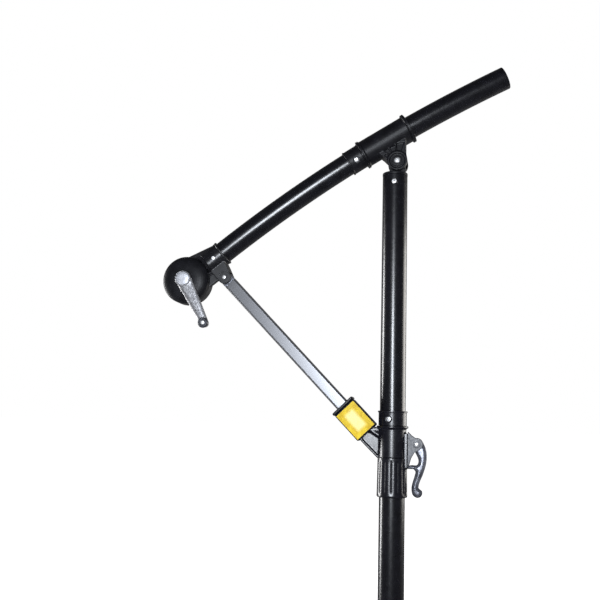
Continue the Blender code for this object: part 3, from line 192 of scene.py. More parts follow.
def computed(tree, kind, operation, *values):
    """The outputs of a math node; each of its values is another node's output or a constant."""
    node = tree.nodes.new(kind)
    node.operation = operation
    for socket, value in zip(node.inputs, values):
        if isinstance(value, bpy.types.NodeSocket):
            tree.links.new(value, socket)
        else:
            socket.default_value = value
    return node.outputs


def ramp(tree, value, low, high, start=0.3, end=0.7):
    """Map a value from start..end to low..high, held at the ends."""
    node = tree.nodes.new("ShaderNodeMapRange")
    node.inputs["From Min"].default_value = start
    node.inputs["From Max"].default_value = end
    node.inputs["To Min"].default_value = low
    node.inputs["To Max"].default_value = high
    tree.links.new(value, node.inputs["Value"])
    return node.outputs["Result"]


def colour_ramp(tree, value, stops):
    node = tree.nodes.new("ShaderNodeValToRGB")
    elements = node.color_ramp.elements
    elements[0].position, elements[0].color = stops[0][0], (*stops[0][1], 1)
    elements[1].position, elements[1].color = stops[-1][0], (*stops[-1][1], 1)
    for place, colour in stops[1:-1]:
        element = elements.new(place)
        element.color = (*colour, 1)
    tree.links.new(value, node.inputs["Fac"])
    return node.outputs["Color"]


def finish_material(name, colours, roughness, metallic=0.0, bumps=(), blotch=60.0, specular=0.5):
    """A surface with mottled colour, uneven roughness and layers of bump (scale, height in mm)."""
    material = bpy.data.materials.new(name)
    material.use_nodes = True
    tree = material.node_tree
    shader = tree.nodes["Principled BSDF"]
    shader.inputs["Metallic"].default_value = metallic
    shader.inputs["Specular IOR Level"].default_value = specular
    last = len(colours) - 1
    stops = [(0.3 + 0.4 * i / last, colour) for i, colour in enumerate(colours)]
    tree.links.new(colour_ramp(tree, noise_field(tree, blotch), stops), shader.inputs["Base Color"])
    uneven = noise_field(tree, blotch * 2.7)
    tree.links.new(ramp(tree, uneven, *roughness), shader.inputs["Roughness"])
    normal = None
    for scale, height in bumps:
        bump = tree.nodes.new("ShaderNodeBump")
        bump.inputs["Distance"].default_value = height * MM
        bump.inputs["Strength"].default_value = 1.0
        tree.links.new(noise_field(tree, scale), bump.inputs["Height"])
        if normal is not None:
            tree.links.new(normal, bump.inputs["Normal"])
        normal = bump.outputs["Normal"]
    if normal is not None:
        tree.links.new(normal, shader.inputs["Normal"])
    return material


def strip_mask(tree, direction, centre, half, soft):
    """1 within half of a centre along a direction in object space, fading to 0 over soft."""
    place = tree.nodes.new("ShaderNodeTexCoord").outputs["Object"]
    along = computed(tree, "ShaderNodeVectorMath", "DOT_PRODUCT", place, direction)["Value"]
    gap = computed(tree, "ShaderNodeMath", "SUBTRACT", along, centre)[0]
    size = computed(tree, "ShaderNodeMath", "ABSOLUTE", gap)[0]
    return ramp(tree, size, 1.0, 0.0, half, half + soft)


def film_material():
    """Yellow film with a painted highlight, a soft paler field, in its middle and a printed dark line round
    its border.
    """
    material = finish_material("yellow_film", [(0.42, 0.27, 0.004), (0.55, 0.41, 0.016)], (0.46, 0.56),
                               bumps=[(90, 0.10)], blotch=110, specular=0.22)
    tree = material.node_tree
    shader = tree.nodes["Principled BSDF"]
    mottled = shader.inputs["Base Color"].links[0].from_socket
    along = Vector((math.cos(STRUT_ANGLE), 0, math.sin(STRUT_ANGLE)))
    across = Vector((-along.z, 0, along.x))
    middle = PIN_TOP + along * LABEL_MIDDLE
    border = 0.9 * MM
    # The first field is a painted highlight: a paler, softly edged yellow patch in the middle where the light
    # falls. The second is the printed dark border line.
    highlight_and_print_fields = [((0.66, 0.57, 0.22), 16.0 * MM, 7.0 * MM, 6.0 * MM, False),
            ((0.02, 0.018, 0.015), LABEL_HALF_LONG - border, LABEL_HALF_WIDE - border, 0.25 * MM, True)]
    for highlight_and_print_colour, long_half, wide_half, soft, outside in highlight_and_print_fields:
        lengthwise = strip_mask(tree, along, middle.dot(along), long_half, soft)
        widthwise = strip_mask(tree, across, middle.dot(across), wide_half, soft)
        mix = tree.nodes.new("ShaderNodeMix")
        mix.data_type = "RGBA"
        both = computed(tree, "ShaderNodeMath", "MULTIPLY", lengthwise, widthwise)[0]
        tree.links.new(both, mix.inputs["Factor"])
        highlight_and_print_input, plain = (6, 7) if outside else (7, 6)
        mix.inputs[highlight_and_print_input].default_value = (*highlight_and_print_colour, 1)
        tree.links.new(mottled, mix.inputs[plain])
        mottled = mix.outputs[2]
    tree.links.new(mottled, shader.inputs["Base Color"])
    return material


def housing_material():
    """Satin moulding, polished on the sleeve that the arm slides into."""
    material = finish_material("black_housing_plastic", [(0.004, 0.004, 0.005), (0.009, 0.009, 0.011)],
                               (0.44, 0.54))
    tree = material.node_tree
    shader = tree.nodes["Principled BSDF"]
    satin = shader.inputs["Roughness"].links[0].from_socket
    place = tree.nodes.new("ShaderNodeTexCoord").outputs["Object"]
    vector_math = "ShaderNodeVectorMath"
    offset = computed(tree, vector_math, "SUBTRACT", place, arm_point(HOUSING_FLANGE_X))["Vector"]
    across = computed(tree, vector_math, "CROSS_PRODUCT", offset, arm_direction(HOUSING_FLANGE_X))["Vector"]
    from_axis = computed(tree, vector_math, "LENGTH", across)["Value"]
    polish = ramp(tree, from_axis, 0.5, 1.0, 25.0 * MM, 25.5 * MM)
    rough = computed(tree, "ShaderNodeMath", "MULTIPLY", satin, polish)[0]
    tree.links.new(rough, shader.inputs["Roughness"])
    return material


def make_materials():
    return {
        "black_paint": finish_material(
            "black_powder_coat", [(0.003, 0.003, 0.004), (0.005, 0.005, 0.007)], (0.23, 0.28)),
        "black_plastic": finish_material(
            "black_moulded_plastic", [(0.003, 0.003, 0.004), (0.006, 0.006, 0.008)], (0.36, 0.43),
            bumps=[(500, 0.003)], specular=0.24),
        "gloss_plastic": finish_material(
            "black_gloss_plastic", [(0.003, 0.003, 0.005), (0.006, 0.006, 0.009)], (0.26, 0.31)),
        "housing_plastic": housing_material(),
        "cover_plastic": finish_material(
            "black_cover_plastic", [(0.004, 0.004, 0.005), (0.008, 0.008, 0.010)], (0.38, 0.46),
            bumps=[(500, 0.003)], specular=0.14),
        "grey_casting": finish_material(
            "grey_painted_casting", [(0.024, 0.026, 0.034), (0.170, 0.176, 0.205)], (0.20, 0.34),
            metallic=0.5, bumps=[(70, 0.5), (300, 0.02)], blotch=60),
        "plate_casting": finish_material(
            "dark_painted_casting", [(0.010, 0.011, 0.015), (0.026, 0.028, 0.038)], (0.34, 0.46),
            bumps=[(110, 0.12), (300, 0.02)], blotch=110),
        "strut_paint": finish_material(
            "grey_paint", [(0.12, 0.122, 0.130), (0.17, 0.172, 0.182)], (0.31, 0.36),
            metallic=0.7, bumps=[(700, 0.004)], blotch=700),
        "chrome": finish_material(
            "cast_chrome", [(0.20, 0.20, 0.21), (0.50, 0.50, 0.52)], (0.34, 0.46),
            metallic=0.8, bumps=[(300, 0.05), (900, 0.012)], blotch=260),
        "steel": finish_material(
            "zinc_plated_steel", [(0.62, 0.62, 0.63), (0.76, 0.76, 0.76)], (0.38, 0.48),
            metallic=0.85, bumps=[(900, 0.006)]),
        "nylon": finish_material(
            "white_nylon", [(0.66, 0.65, 0.60), (0.74, 0.73, 0.69)], (0.42, 0.55),
            bumps=[(700, 0.02)]),
        "cap": finish_material(
            "satin_disc", [(0.42, 0.43, 0.47), (0.55, 0.56, 0.60)], (0.32, 0.42),
            metallic=0.5, bumps=[(900, 0.004)]),
        "rubber": finish_material(
            "black_rubber", [(0.014, 0.014, 0.014), (0.024, 0.024, 0.024)], (0.7, 0.85),
            bumps=[(1200, 0.05)]),
        "yellow_film": film_material(),
    }


# ---------------------------------------------------------------- mesh tools

def mm(*points):
    """Points given in millimetres."""
    return [tuple(value * MM for value in point) for point in points]


def at_y(axis, y):
    """The point at a depth on an axis that runs along Y."""
    return Vector((axis.x, y, axis.z))


def solid(name, points, faces):
    """An object made of points and faces, its normals facing out."""
    mesh = bpy.data.meshes.new(name)
    mesh.from_pydata([tuple(p) for p in points], [], faces)
    bm = bmesh.new()
    bm.from_mesh(mesh)
    bmesh.ops.remove_doubles(bm, verts=bm.verts, dist=1e-6)
    bmesh.ops.recalc_face_normals(bm, faces=bm.faces)
    bm.to_mesh(mesh)
    bm.free()
    return linked(name, mesh)


def next_ring(points, count):
    """The indices of the next points to come."""
    return list(range(len(points), len(points) + count))


def quads(pairs):
    """Faces between pairs of equally long rings."""
    return [[a[k], a[(k + 1) % len(a)], b[(k + 1) % len(a)], b[k]] for a, b in pairs for k in range(len(a))]


def softened(points, radius, closed=False, steps=4):
    """The same polyline with its corners rounded."""
    count = len(points)
    result = []
    for i, point in enumerate(points):
        here = np.array(point, float)
        if not closed and i in (0, count - 1):
            result.append(tuple(here))
            continue
        before = np.array(points[i - 1], float)
        after = np.array(points[(i + 1) % count], float)
        reach_a = min(radius, 0.45 * np.linalg.norm(before - here))
        reach_b = min(radius, 0.45 * np.linalg.norm(after - here))
        start = here + (before - here) * reach_a / np.linalg.norm(before - here)
        end = here + (after - here) * reach_b / np.linalg.norm(after - here)
        for k in range(steps + 1):
            t = k / steps
            result.append(tuple((1 - t) ** 2 * start + 2 * t * (1 - t) * here + t ** 2 * end))
    return result


def turn_frame(origin, direction):
    return (Matrix.Translation(Vector(origin))
            @ Vector(direction).to_track_quat("Z", "Y").to_matrix().to_4x4())


def spun(name, profile, origin, direction, closed=False, segments=96, soft=0.4 * MM):
    """A turned solid from (radius, height) points; open profiles start and end on the axis."""
    line = softened(profile, soft, closed)
    place = turn_frame(origin, direction)
    points = []
    rings = []
    for radius, height in line:
        if radius < 1e-7:
            rings.append([len(points)])
            points.append(place @ Vector((0, 0, height)))
            continue
        rings.append(next_ring(points, segments))
        for k in range(segments):
            a = 2 * math.pi * k / segments
            points.append(place @ Vector((radius * math.cos(a), radius * math.sin(a), height)))
    pairs = list(zip(rings, rings[1:]))
    if closed:
        pairs.append((rings[-1], rings[0]))
    faces = []
    for a, b in pairs:
        for k in range(segments):
            n = (k + 1) % segments
            corners = [a[k % len(a)], a[n % len(a)], b[n % len(b)], b[k % len(b)]]
            face = [c for i, c in enumerate(corners) if c not in corners[:i]]
            if len(face) > 2:
                faces.append(face)
    return solid(name, points, faces)


def on_both_sides(name, profile, axis, face, segments=96):
    """The same turned ring on the front and the rear face of a part."""
    return [spun(f"{name}_{side + 1}", profile, at_y(axis, side * face), Vector((0, side, 0)), closed=True,
                 segments=segments) for side in (-1, 1)]


def arc(cx, cz, radius, start_deg, end_deg, count):
    """(x, z) points of an arc."""
    angles = [math.radians(start_deg + (end_deg - start_deg) * i / count) for i in range(count + 1)]
    return [(cx + radius * math.cos(a), cz + radius * math.sin(a)) for a in angles]


def slab(name, outline, y_front, y_back, edge=0.0, steps=3):
    """A flat outline in the XZ plane with thickness along Y, its rims rounded."""
    count = len(outline)
    points = [(x, y, z) for y in (y_front, y_back) for x, z in outline]
    faces = [list(range(count)), list(range(2 * count - 1, count - 1, -1))]
    faces += [[i, (i + 1) % count, count + (i + 1) % count, count + i] for i in range(count)]
    obj = solid(name, points, faces)
    if edge:
        bm = bmesh.new()
        bm.from_mesh(obj.data)
        rims = [e for e in bm.edges if abs(e.verts[0].co.y - e.verts[1].co.y) < 1e-7]
        bmesh.ops.bevel(bm, geom=rims, offset=edge, segments=steps, profile=0.5, affect="EDGES",
                        clamp_overlap=True)
        bm.to_mesh(obj.data)
        bm.free()
    return obj


def box_solid(name, centre, size, angle=0.0, edge=0.0, steps=3):
    """A box turned about Y by an angle, its edges rounded."""
    bm = bmesh.new()
    bmesh.ops.create_cube(bm, size=1.0, matrix=Matrix.Diagonal((*size, 1.0)))
    if edge:
        bmesh.ops.bevel(bm, geom=bm.edges[:], offset=edge, segments=steps, profile=0.5, affect="EDGES")
    bm.transform(Matrix.Translation(Vector(centre)) @ Matrix.Rotation(-angle, 4, "Y"))
    mesh = bpy.data.meshes.new(name)
    bm.to_mesh(mesh)
    bm.free()
    return linked(name, mesh)


def bar(name, radius, start, end, segments=64):
    """A plain round bar, used to cut or to join."""
    start, end = Vector(start), Vector(end)
    length = (end - start).length
    return spun(name, [(0, length), (radius, length), (radius, 0), (0, 0)], start, end - start,
                segments=segments, soft=0)


def bar_along_y(name, radius, axis, y_start, y_end, segments=64):
    return bar(name, radius, at_y(axis, y_start), at_y(axis, y_end), segments)


def evaluated(obj):
    """Apply an object's modifiers to its mesh."""
    bpy.context.view_layer.update()
    mesh = bpy.data.meshes.new_from_object(obj.evaluated_get(bpy.context.evaluated_depsgraph_get()))
    obj.modifiers.clear()
    obj.data = mesh
    return obj


def carve(obj, join=(), cut=(), solver="EXACT"):
    """Join solids to an object, then cut others out of it."""
    for operation, others in (("UNION", join), ("DIFFERENCE", cut)):
        for other in others:
            step = obj.modifiers.new(other.name, "BOOLEAN")
            step.operation = operation
            step.object = other
            step.solver = solver
    evaluated(obj)
    for other in (*join, *cut):
        bpy.data.objects.remove(other, do_unlink=True)
    return obj


def copy_of(node, name):
    """The CAD node's solid as a new welded object."""
    source = frame["nodes"][node].data
    points = [v.co for v in source.vertices]
    return solid(name, points, [list(p.vertices) for p in source.polygons])


def cast(obj, skins=(), voxel=0.7 * MM, smooth=5, keep=0.45, true=()):
    """Fuse a solid with finer skins over its round parts, soften every edge, and thin the mesh.

    The true skins then cover the casting a hair proud of it, so that they stay perfectly round.
    """
    skins = (*skins, *(linked(part.name, part.data.copy()) for part in true))
    bm = bmesh.new()
    for part in (obj, *skins):
        bm.from_mesh(part.data)
    bm.to_mesh(obj.data)
    bm.free()
    for part in skins:
        bpy.data.objects.remove(part, do_unlink=True)
    remesh = obj.modifiers.new("fuse", "REMESH")
    remesh.mode = "VOXEL"
    remesh.voxel_size = voxel
    soften = obj.modifiers.new("soften", "SMOOTH")
    soften.factor = 0.5
    soften.iterations = smooth
    thin = obj.modifiers.new("thin", "DECIMATE")
    thin.ratio = keep
    evaluated(obj)
    for part in true:
        for vertex in part.data.vertices:
            vertex.co += vertex.normal * 0.07 * MM
    return carve(obj, join=true, solver="MANIFOLD") if true else obj


def crowned(obj, outline, reach, rim, flats, base=0.0):
    """Thin the section toward the outline about a base plane, except in flat discs (centre, radius)."""
    mesh = obj.data
    flat = np.empty(len(mesh.vertices) * 3)
    mesh.vertices.foreach_get("co", flat)
    points = flat.reshape(-1, 3)
    place = points[:, [0, 2]]
    nearest = np.full(len(place), 1.0)
    corners = np.array(outline)
    for a, b in zip(corners, np.roll(corners, -1, axis=0)):
        span = b - a
        t = np.clip(((place - a) @ span) / max(span @ span, 1e-12), 0, 1)
        nearest = np.minimum(nearest, np.linalg.norm(place - a - t[:, None] * span, axis=1))
    depth = np.clip(nearest / reach, 0, 1)
    crown = rim + (1 - rim) * np.sin(depth * math.pi / 2)
    keep = np.ones(len(place))
    for centre, radius in flats:
        away = np.linalg.norm(place - np.array([centre.x, centre.z]), axis=1)
        keep *= np.clip((away - radius) / (3 * MM), 0, 1)
    points[:, 1] = base + (points[:, 1] - base) * (1 - keep * (1 - crown))
    mesh.vertices.foreach_set("co", points.ravel())
    mesh.update()
    return obj


def stand_in(obj, *nodes, finish=None, sharp=None):
    """The piece rides with the nodes it stands for and takes their finish."""
    slot = SLOT_OF[nodes[0]]
    obj.data.materials.clear()
    obj.data.materials.append(materials[finish or slot])
    obj.data.shade_smooth()
    if sharp:
        obj.data.set_sharp_from_angle(angle=math.radians(sharp))
    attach(obj, frame["nodes"][nodes[0]]["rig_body"])
    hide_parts(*nodes)
    return obj


def even_normals(obj):
    """Keep flat faces flat beside their rounded edges."""
    weighted = obj.modifiers.new("even_normals", "WEIGHTED_NORMAL")
    weighted.weight = 60
    weighted.keep_sharp = True
    return obj


# ---------------------------------------------------------------- driving sizes

HINGE = JOINT["arm_tilt"]
PIN_TOP = JOINT["strut_swing"]
CRANK_AXIS = JOINT["crank_turn"]
KNOB_AXIS = JOINT["knob_spin"]
PIVOT = JOINT["lever_pull"]

ARM_R = 22.0 * MM
ARM_WALL = 1.5 * MM
ARC_X = 1357.8 * MM
ARC_Z = -1470.0 * MM
ARC_R = 2729.9 * MM
ARM_LOW_X = -367.5 * MM
ARM_HIGH_X = 211.3 * MM
SLEEVE_LOW_X = -65.4 * MM
SLEEVE_LENGTH = 106.3 * MM
HOUSING_FLANGE_X = -340.9 * MM
PIN_LOW = Vector((-56.0 * MM, 0, 329.5 * MM))
STRUT_LENGTH = (PIN_LOW - PIN_TOP).length
STRUT_ANGLE = math.atan2(PIN_LOW.z - PIN_TOP.z, PIN_LOW.x - PIN_TOP.x)
SOCKET_FOOT = STRUT_LENGTH + 14 * MM
LABEL_HALF_LONG = 30.0 * MM
LABEL_HALF_WIDE = 22.3 * MM
LABEL_MIDDLE = SOCKET_FOOT - 31.6 * MM


def arm_angle(x):
    return math.acos((x - ARC_X) / ARC_R)


def arm_point(x, along=0.0):
    """A point on the arm's axis, moved along it towards its high end."""
    a = arm_angle(x) - along / ARC_R
    return Vector((ARC_X + ARC_R * math.cos(a), 0, ARC_Z + ARC_R * math.sin(a)))


def arm_direction(x):
    a = arm_angle(x) - math.pi / 2
    return Vector((math.cos(a), 0, math.sin(a)))


def tilted_front(direction, degrees):
    """The front direction, tilted towards the lower side of a part that runs along a direction."""
    up_side = Vector((-direction.z, 0, direction.x))
    tilt = math.radians(degrees)
    return FRONT * math.cos(tilt) - up_side * math.sin(tilt)


def on_strut(along, side):
    """(x, z) of a point: along the strut from its top pin, and to its upper side."""
    c, s = math.cos(STRUT_ANGLE), math.sin(STRUT_ANGLE)
    return (PIN_TOP.x + along * c - side * s, PIN_TOP.z + along * s + side * c)


# ---------------------------------------------------------------- mast

def make_mast():
    low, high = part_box("mast_tube")
    radius = high.x
    wall = 1.6 * MM
    rim = 0.5 * MM
    tube = spun("mast_skin", [(radius - rim, high.z), (radius, high.z - rim), (radius, low.z + rim),
                              (radius - rim, low.z), (radius - wall, low.z), (radius - wall, high.z)],
                (0, 0, 0), UP, closed=True, segments=160, soft=0.3 * MM)
    even_normals(stand_in(tube, "mast_tube"))
    shoulder = high.z + 0.3 * MM
    skirt_top = shoulder + 5 * MM
    skirt_r = radius + 0.3 * MM
    skirt = spun("head_skirt", [(0, skirt_top), (radius - 0.4 * MM, skirt_top),
                                (skirt_r, shoulder + 4.3 * MM), (skirt_r, shoulder), (0, shoulder)],
                 (0, 0, 0), UP, soft=0.2 * MM)
    eye = spun("head_eye", mm((15.0, 10.4), (15.0, -10.4), (6, -10.4), (6, 10.4)), HINGE, FRONT, closed=True)
    head = cast(copy_of("mast_head", "mast_head_skin"), [eye], voxel=0.6 * MM)
    stand_in(carve(head, join=(skirt,)), "mast_head", sharp=35)
    for side, node in ((-1, "mast_rivet_front"), (1, "mast_rivet_rear")):
        low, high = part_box(node)
        seat = Vector((0, side * (radius + 0.3 * MM), (low.z + high.z) / 2))
        pop_rivet(node, seat, Vector((0, side, 0)), 5.0 * MM)


def pop_rivet(node, seat, outward, head_r):
    """A pop rivet's head: flat brim, low dome, and a dimple with the broken stem in it."""
    height = 0.34 * head_r
    profile = [(0, -1.6 * MM), (head_r * 0.25, -1.6 * MM), (head_r * 0.27, height * 0.8),
               (head_r * 0.36, height)]
    profile += [(head_r * (0.40 + 0.56 * math.sin(a)), height * (0.25 + 0.75 * math.cos(a)))
                for a in (0.5, 0.9, 1.25, 1.5)]
    profile += [(head_r, 0.16 * height), (head_r, 0), (2.0 * MM, 0), (2.0 * MM, -2.5 * MM), (0, -2.5 * MM)]
    stand_in(spun(node + "_head", profile, seat, outward, segments=48, soft=0.12 * MM), node)


# ---------------------------------------------------------------- arm and hinge bracket

def make_arm():
    stations = 72
    around = 112
    inner = ARM_R - ARM_WALL
    rim = 0.4 * MM
    low_angle = arm_angle(ARM_LOW_X)
    length = abs(arm_angle(ARM_HIGH_X) - low_angle) * ARC_R
    line = [(inner, 0.0), (ARM_R - rim, 0.0)]
    line += [(ARM_R, rim + (length - 2 * rim) * i / stations) for i in range(stations + 1)]
    line += [(ARM_R - rim, length)]
    line += [(inner, length * (1 - i / stations)) for i in range(stations)]
    points = []
    rings = []
    for radius, along in line:
        a = low_angle - along / ARC_R
        outward = Vector((math.cos(a), 0, math.sin(a)))
        centre = arm_point(ARM_LOW_X, along)
        rings.append(next_ring(points, around))
        for k in range(around):
            t = 2 * math.pi * k / around
            points.append(centre + radius * (outward * math.cos(t) + Vector((0, math.sin(t), 0))))
    tube = solid("arm_skin", points, quads(zip(rings, rings[1:] + rings[:1])))
    even_normals(stand_in(tube, "arm_tube"))


def sleeve_profile(length, radius, bore, low_rim, high_rim, rim_r):
    """A moulded sleeve with a raised rim at each end and a small fillet beside each rim."""
    groove_r = rim_r - 1.8 * MM
    step_r = rim_r - 0.7 * MM
    return [(bore, length), (rim_r - 0.5 * MM, length),
            (rim_r, length - 0.5 * MM), (rim_r, length - 1.5 * MM),
            (groove_r, length - 1.9 * MM), (groove_r, length - high_rim + 1.3 * MM),
            (step_r, length - high_rim + 0.9 * MM), (step_r, length - high_rim),
            (radius + 0.6 * MM, length - high_rim - 0.6 * MM), (radius, length - high_rim - 1.8 * MM),
            (radius, low_rim + 1.8 * MM), (radius + 0.6 * MM, low_rim + 0.6 * MM),
            (rim_r - 1.2 * MM, low_rim), (rim_r - 1.2 * MM, low_rim - 0.9 * MM),
            (groove_r, low_rim - 1.3 * MM), (groove_r, 1.9 * MM),
            (rim_r - 0.8 * MM, 1.5 * MM), (rim_r - 0.8 * MM, 0.5 * MM), (rim_r - 1.3 * MM, 0), (bore, 0)]


def make_arm_bracket():
    """Cast sleeve on the arm, with a round boss on the outside of each hinge cheek."""
    low = arm_point(SLEEVE_LOW_X)
    high = arm_point(SLEEVE_LOW_X, SLEEVE_LENGTH)
    profile = sleeve_profile((high - low).length, 26.5 * MM, 24 * MM, 5 * MM, 5 * MM, 30 * MM)
    sleeve = spun("sleeve_skin", profile, low, high - low, closed=True, segments=128, soft=0.5 * MM)
    cheek = 18.5 * MM
    boss = 19.8 * MM
    inner, outer = 15.0 * MM, 18.9 * MM
    ring = [(inner, 0), (inner, boss - cheek), (15.8 * MM, boss - 18.1 * MM), (18.0 * MM, boss - 18.1 * MM),
            (outer, boss - 18.9 * MM), (outer, -5 * MM), (inner, -5 * MM)]
    bracket = cast(copy_of("arm_bracket", "arm_bracket_skin"), voxel=0.65 * MM, smooth=3, keep=0.5,
                   true=[sleeve, *on_both_sides("boss", ring, HINGE, cheek)])
    stand_in(bracket, "arm_bracket", sharp=35)


def make_neck():
    direction = arm_direction(SLEEVE_LOW_X - 14 * MM)
    length = 32.0 * MM
    start = arm_point(SLEEVE_LOW_X) - direction * length
    radius = 24.2 * MM
    bore = ARM_R + 0.4 * MM
    profile = [(bore, length - 0.9 * MM), (radius + 1.0 * MM, length - 0.9 * MM), (radius, length - 2.5 * MM),
               (radius, 3.0 * MM), (radius + 1.0 * MM, 2.4 * MM), (radius + 1.0 * MM, 0.5 * MM),
               (radius + 0.5 * MM, 0), (bore, 0)]
    neck = spun("arm_neck_skin", profile, start, direction, closed=True, segments=128, soft=0.3 * MM)
    outward = tilted_front(direction, 20)
    centre = start + direction * 17 * MM
    dished(neck, centre, outward, radius - 0.9 * MM, 6.8 * MM, 2.7 * MM)
    stand_in(neck, "arm_neck_bush", sharp=28)
    pop_rivet("arm_neck_rivet", centre + outward * (radius - 0.6 * MM), outward, 4.6 * MM)


def dished(obj, centre, outward, depth_r, spot_r, hole_r):
    """A flat round spot sunk into a curved wall, with the rivet's hole in it."""
    spot = spun("spot", [(0, 20 * MM), (spot_r + 1.0 * MM, 20 * MM), (spot_r + 0.5 * MM, 1.4 * MM),
                         (spot_r, 0.2 * MM), (spot_r - 0.4 * MM, 0), (0, 0)],
                centre + outward * depth_r, outward, segments=64)
    hole = bar("hole", hole_r, centre + outward * (depth_r - 6 * MM),
               centre + outward * (depth_r + 6 * MM), 32)
    return carve(obj, cut=(spot, hole))


def make_top_hinge():
    """Washers and the cross-recessed bolt."""
    inner = 4.3 * MM
    for side, node in ((-1, "hinge_washer_front"), (1, "hinge_washer_rear")):
        low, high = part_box(node)
        near = min(abs(low.y), abs(high.y))
        rim = (high.x - low.x) / 2
        profile = [(inner, 1.4 * MM), (8.6 * MM, 1.4 * MM), (9.4 * MM, 0.8 * MM), (11.6 * MM, 0.8 * MM),
                   (12.2 * MM, 1.3 * MM), (rim - 0.4 * MM, 1.3 * MM), (rim, 0.9 * MM), (rim, 0), (inner, 0)]
        washer = spun(node + "_skin", profile, HINGE + Vector((0, side * near, 0)), Vector((0, side, 0)),
                      closed=True, soft=0.25 * MM)
        stand_in(washer, node)
    low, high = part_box("hinge_bolt")
    head = 3.2 * MM
    seat = Vector((HINGE.x, low.y + head, HINGE.z))
    length = high.y - seat.y
    profile = [(0, head), (2.6 * MM, head * 0.97), (4.6 * MM, head * 0.78), (5.7 * MM, head * 0.45),
               (6.0 * MM, 0.3 * MM), (6.0 * MM, 0), (4.0 * MM, 0), (4.0 * MM, -length), (0, -length)]
    bolt = spun("hinge_bolt_skin", profile, seat, FRONT, segments=64, soft=0.3 * MM)
    slots = cross_slots(at_y(HINGE, low.y), (6.6 * MM, 3.4 * MM, 1.3 * MM), 45)
    stand_in(carve(bolt, cut=slots), "hinge_bolt", sharp=25)


def cross_slots(centre, size, turn):
    """The two crossed slots of a screw's recess."""
    return [box_solid(f"cross_{k}", centre, size, math.radians(turn + 90 * k)) for k in range(2)]


# ---------------------------------------------------------------- crank housing

DRUM_R = 47.0 * MM
DRUM_SPLIT = -6.0 * MM


def drum_side(y_wide, y_end, r_end, inward=0.0):
    """(radius, y) points of the drum's rounded side, from its wide plane to its end."""
    radius = DRUM_R - inward
    return [(r_end + (radius - r_end) * math.cos(math.radians(9 * i)),
             y_wide + (y_end - y_wide) * math.sin(math.radians(9 * i))) for i in range(11)]


def make_cover():
    """Front dome with a stepped seat round the crank and a lip on the parting line."""
    front = -29.0 * MM
    y_rim = DRUM_SPLIT - 0.3 * MM
    outer = drum_side(-16 * MM, front, 17.5 * MM)
    inner = drum_side(-16 * MM, front + 3 * MM, 17.5 * MM, 3 * MM)
    profile = [(DRUM_R - 0.5 * MM, y_rim), (DRUM_R, y_rim - 0.6 * MM)] + outer
    profile += [(17.0 * MM, front), (16.6 * MM, front + 0.9 * MM), (10 * MM, front + 0.9 * MM),
                (8.3 * MM, front), (8.3 * MM, front + 3 * MM)]
    profile += list(reversed(inner)) + [(DRUM_R - 3 * MM, y_rim)]
    cover = spun("crank_cover_skin", profile, (CRANK_AXIS.x, 0, CRANK_AXIS.z), Vector((0, 1, 0)),
                 closed=True, segments=160, soft=0.25 * MM)
    stand_in(cover, "crank_cover", finish="cover_plastic")


def make_housing():
    """Rear half of the drum, with the sleeve for the arm and the two ears for the strut."""
    back = drum_side(14 * MM, 27 * MM, 20 * MM)
    inside = drum_side(14 * MM, 25 * MM, 20 * MM, 2 * MM)
    shell = spun("drum_skin", mm((9, 25), (9, 27)) + back[::-1]
                 + [(DRUM_R, DRUM_SPLIT + 0.6 * MM), (DRUM_R - 0.5 * MM, DRUM_SPLIT),
                    (DRUM_R - 2 * MM, DRUM_SPLIT)] + inside,
                 at_y(CRANK_AXIS, 0), Vector((0, 1, 0)), closed=True, segments=144, soft=0)
    flange = arm_point(HOUSING_FLANGE_X)
    direction = arm_direction(HOUSING_FLANGE_X)
    length = 38 * MM
    bore, wall, rim = 23.2 * MM, 24.7 * MM, 25.6 * MM
    profile = [(bore, length), (25.0 * MM, length), (rim, length - 0.6 * MM), (rim, length - 3.0 * MM),
               (wall, length - 3.8 * MM)]
    profile += [(wall, y * MM) for y in range(33, 1, -2)] + [(wall, 1 * MM), (bore, 1 * MM)]
    sleeve = spun("sleeve_skin", profile, flange - direction * length, direction, closed=True, segments=144)
    cover_room = bar_along_y("cover_room", DRUM_R + 0.5 * MM, CRANK_AXIS, DRUM_SPLIT - 0.1 * MM, -60 * MM,
                             segments=144)
    carve(sleeve, cut=(cover_room,))
    ears = on_both_sides("ear", mm((11.3, 0), (12.4, 0), (13.0, -0.6), (13.0, -5.4), (11.3, -5.4)),
                         PIN_TOP, 16.0 * MM, segments=72)
    housing = cast(copy_of("crank_housing", "crank_housing_skin"), voxel=0.7 * MM, smooth=3, keep=0.5,
                   true=[shell, sleeve, *ears])
    stand_in(housing, "crank_housing", finish="housing_plastic", sharp=35)
    outward = tilted_front(direction, 8)
    seat = arm_point(HOUSING_FLANGE_X, -20.5 * MM) + outward * 24.0 * MM
    pop_rivet("housing_rivet", seat, outward, 4.0 * MM)


def make_cover_screws():
    """Cross-recessed screws in the back of the housing."""
    for i in range(3):
        node = f"cover_screw_{i + 1}"
        low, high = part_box(node)
        x, z = (low.x + high.x) / 2, (low.z + high.z) / 2
        head = 2.0 * MM
        length = high.y - low.y - head
        profile = [(0, head), (1.6 * MM, head), (2.7 * MM, head * 0.7), (3.2 * MM, head * 0.3), (3.2 * MM, 0),
                   (1.4 * MM, 0), (1.4 * MM, -length), (0, -length)]
        screw = spun(node + "_skin", profile, Vector((x, high.y - head, z)), Vector((0, 1, 0)), segments=48,
                     soft=0.2 * MM)
        slots = cross_slots(Vector((x, high.y, z)), (3.6 * MM, 2.2 * MM, 0.8 * MM), 20)
        stand_in(carve(screw, cut=slots), node, sharp=25)


# ---------------------------------------------------------------- crank

CRANK_ANGLE = math.atan2(KNOB_AXIS.z - CRANK_AXIS.z, KNOB_AXIS.x - CRANK_AXIS.x)
CRANK_LENGTH = math.hypot(KNOB_AXIS.z - CRANK_AXIS.z, KNOB_AXIS.x - CRANK_AXIS.x)


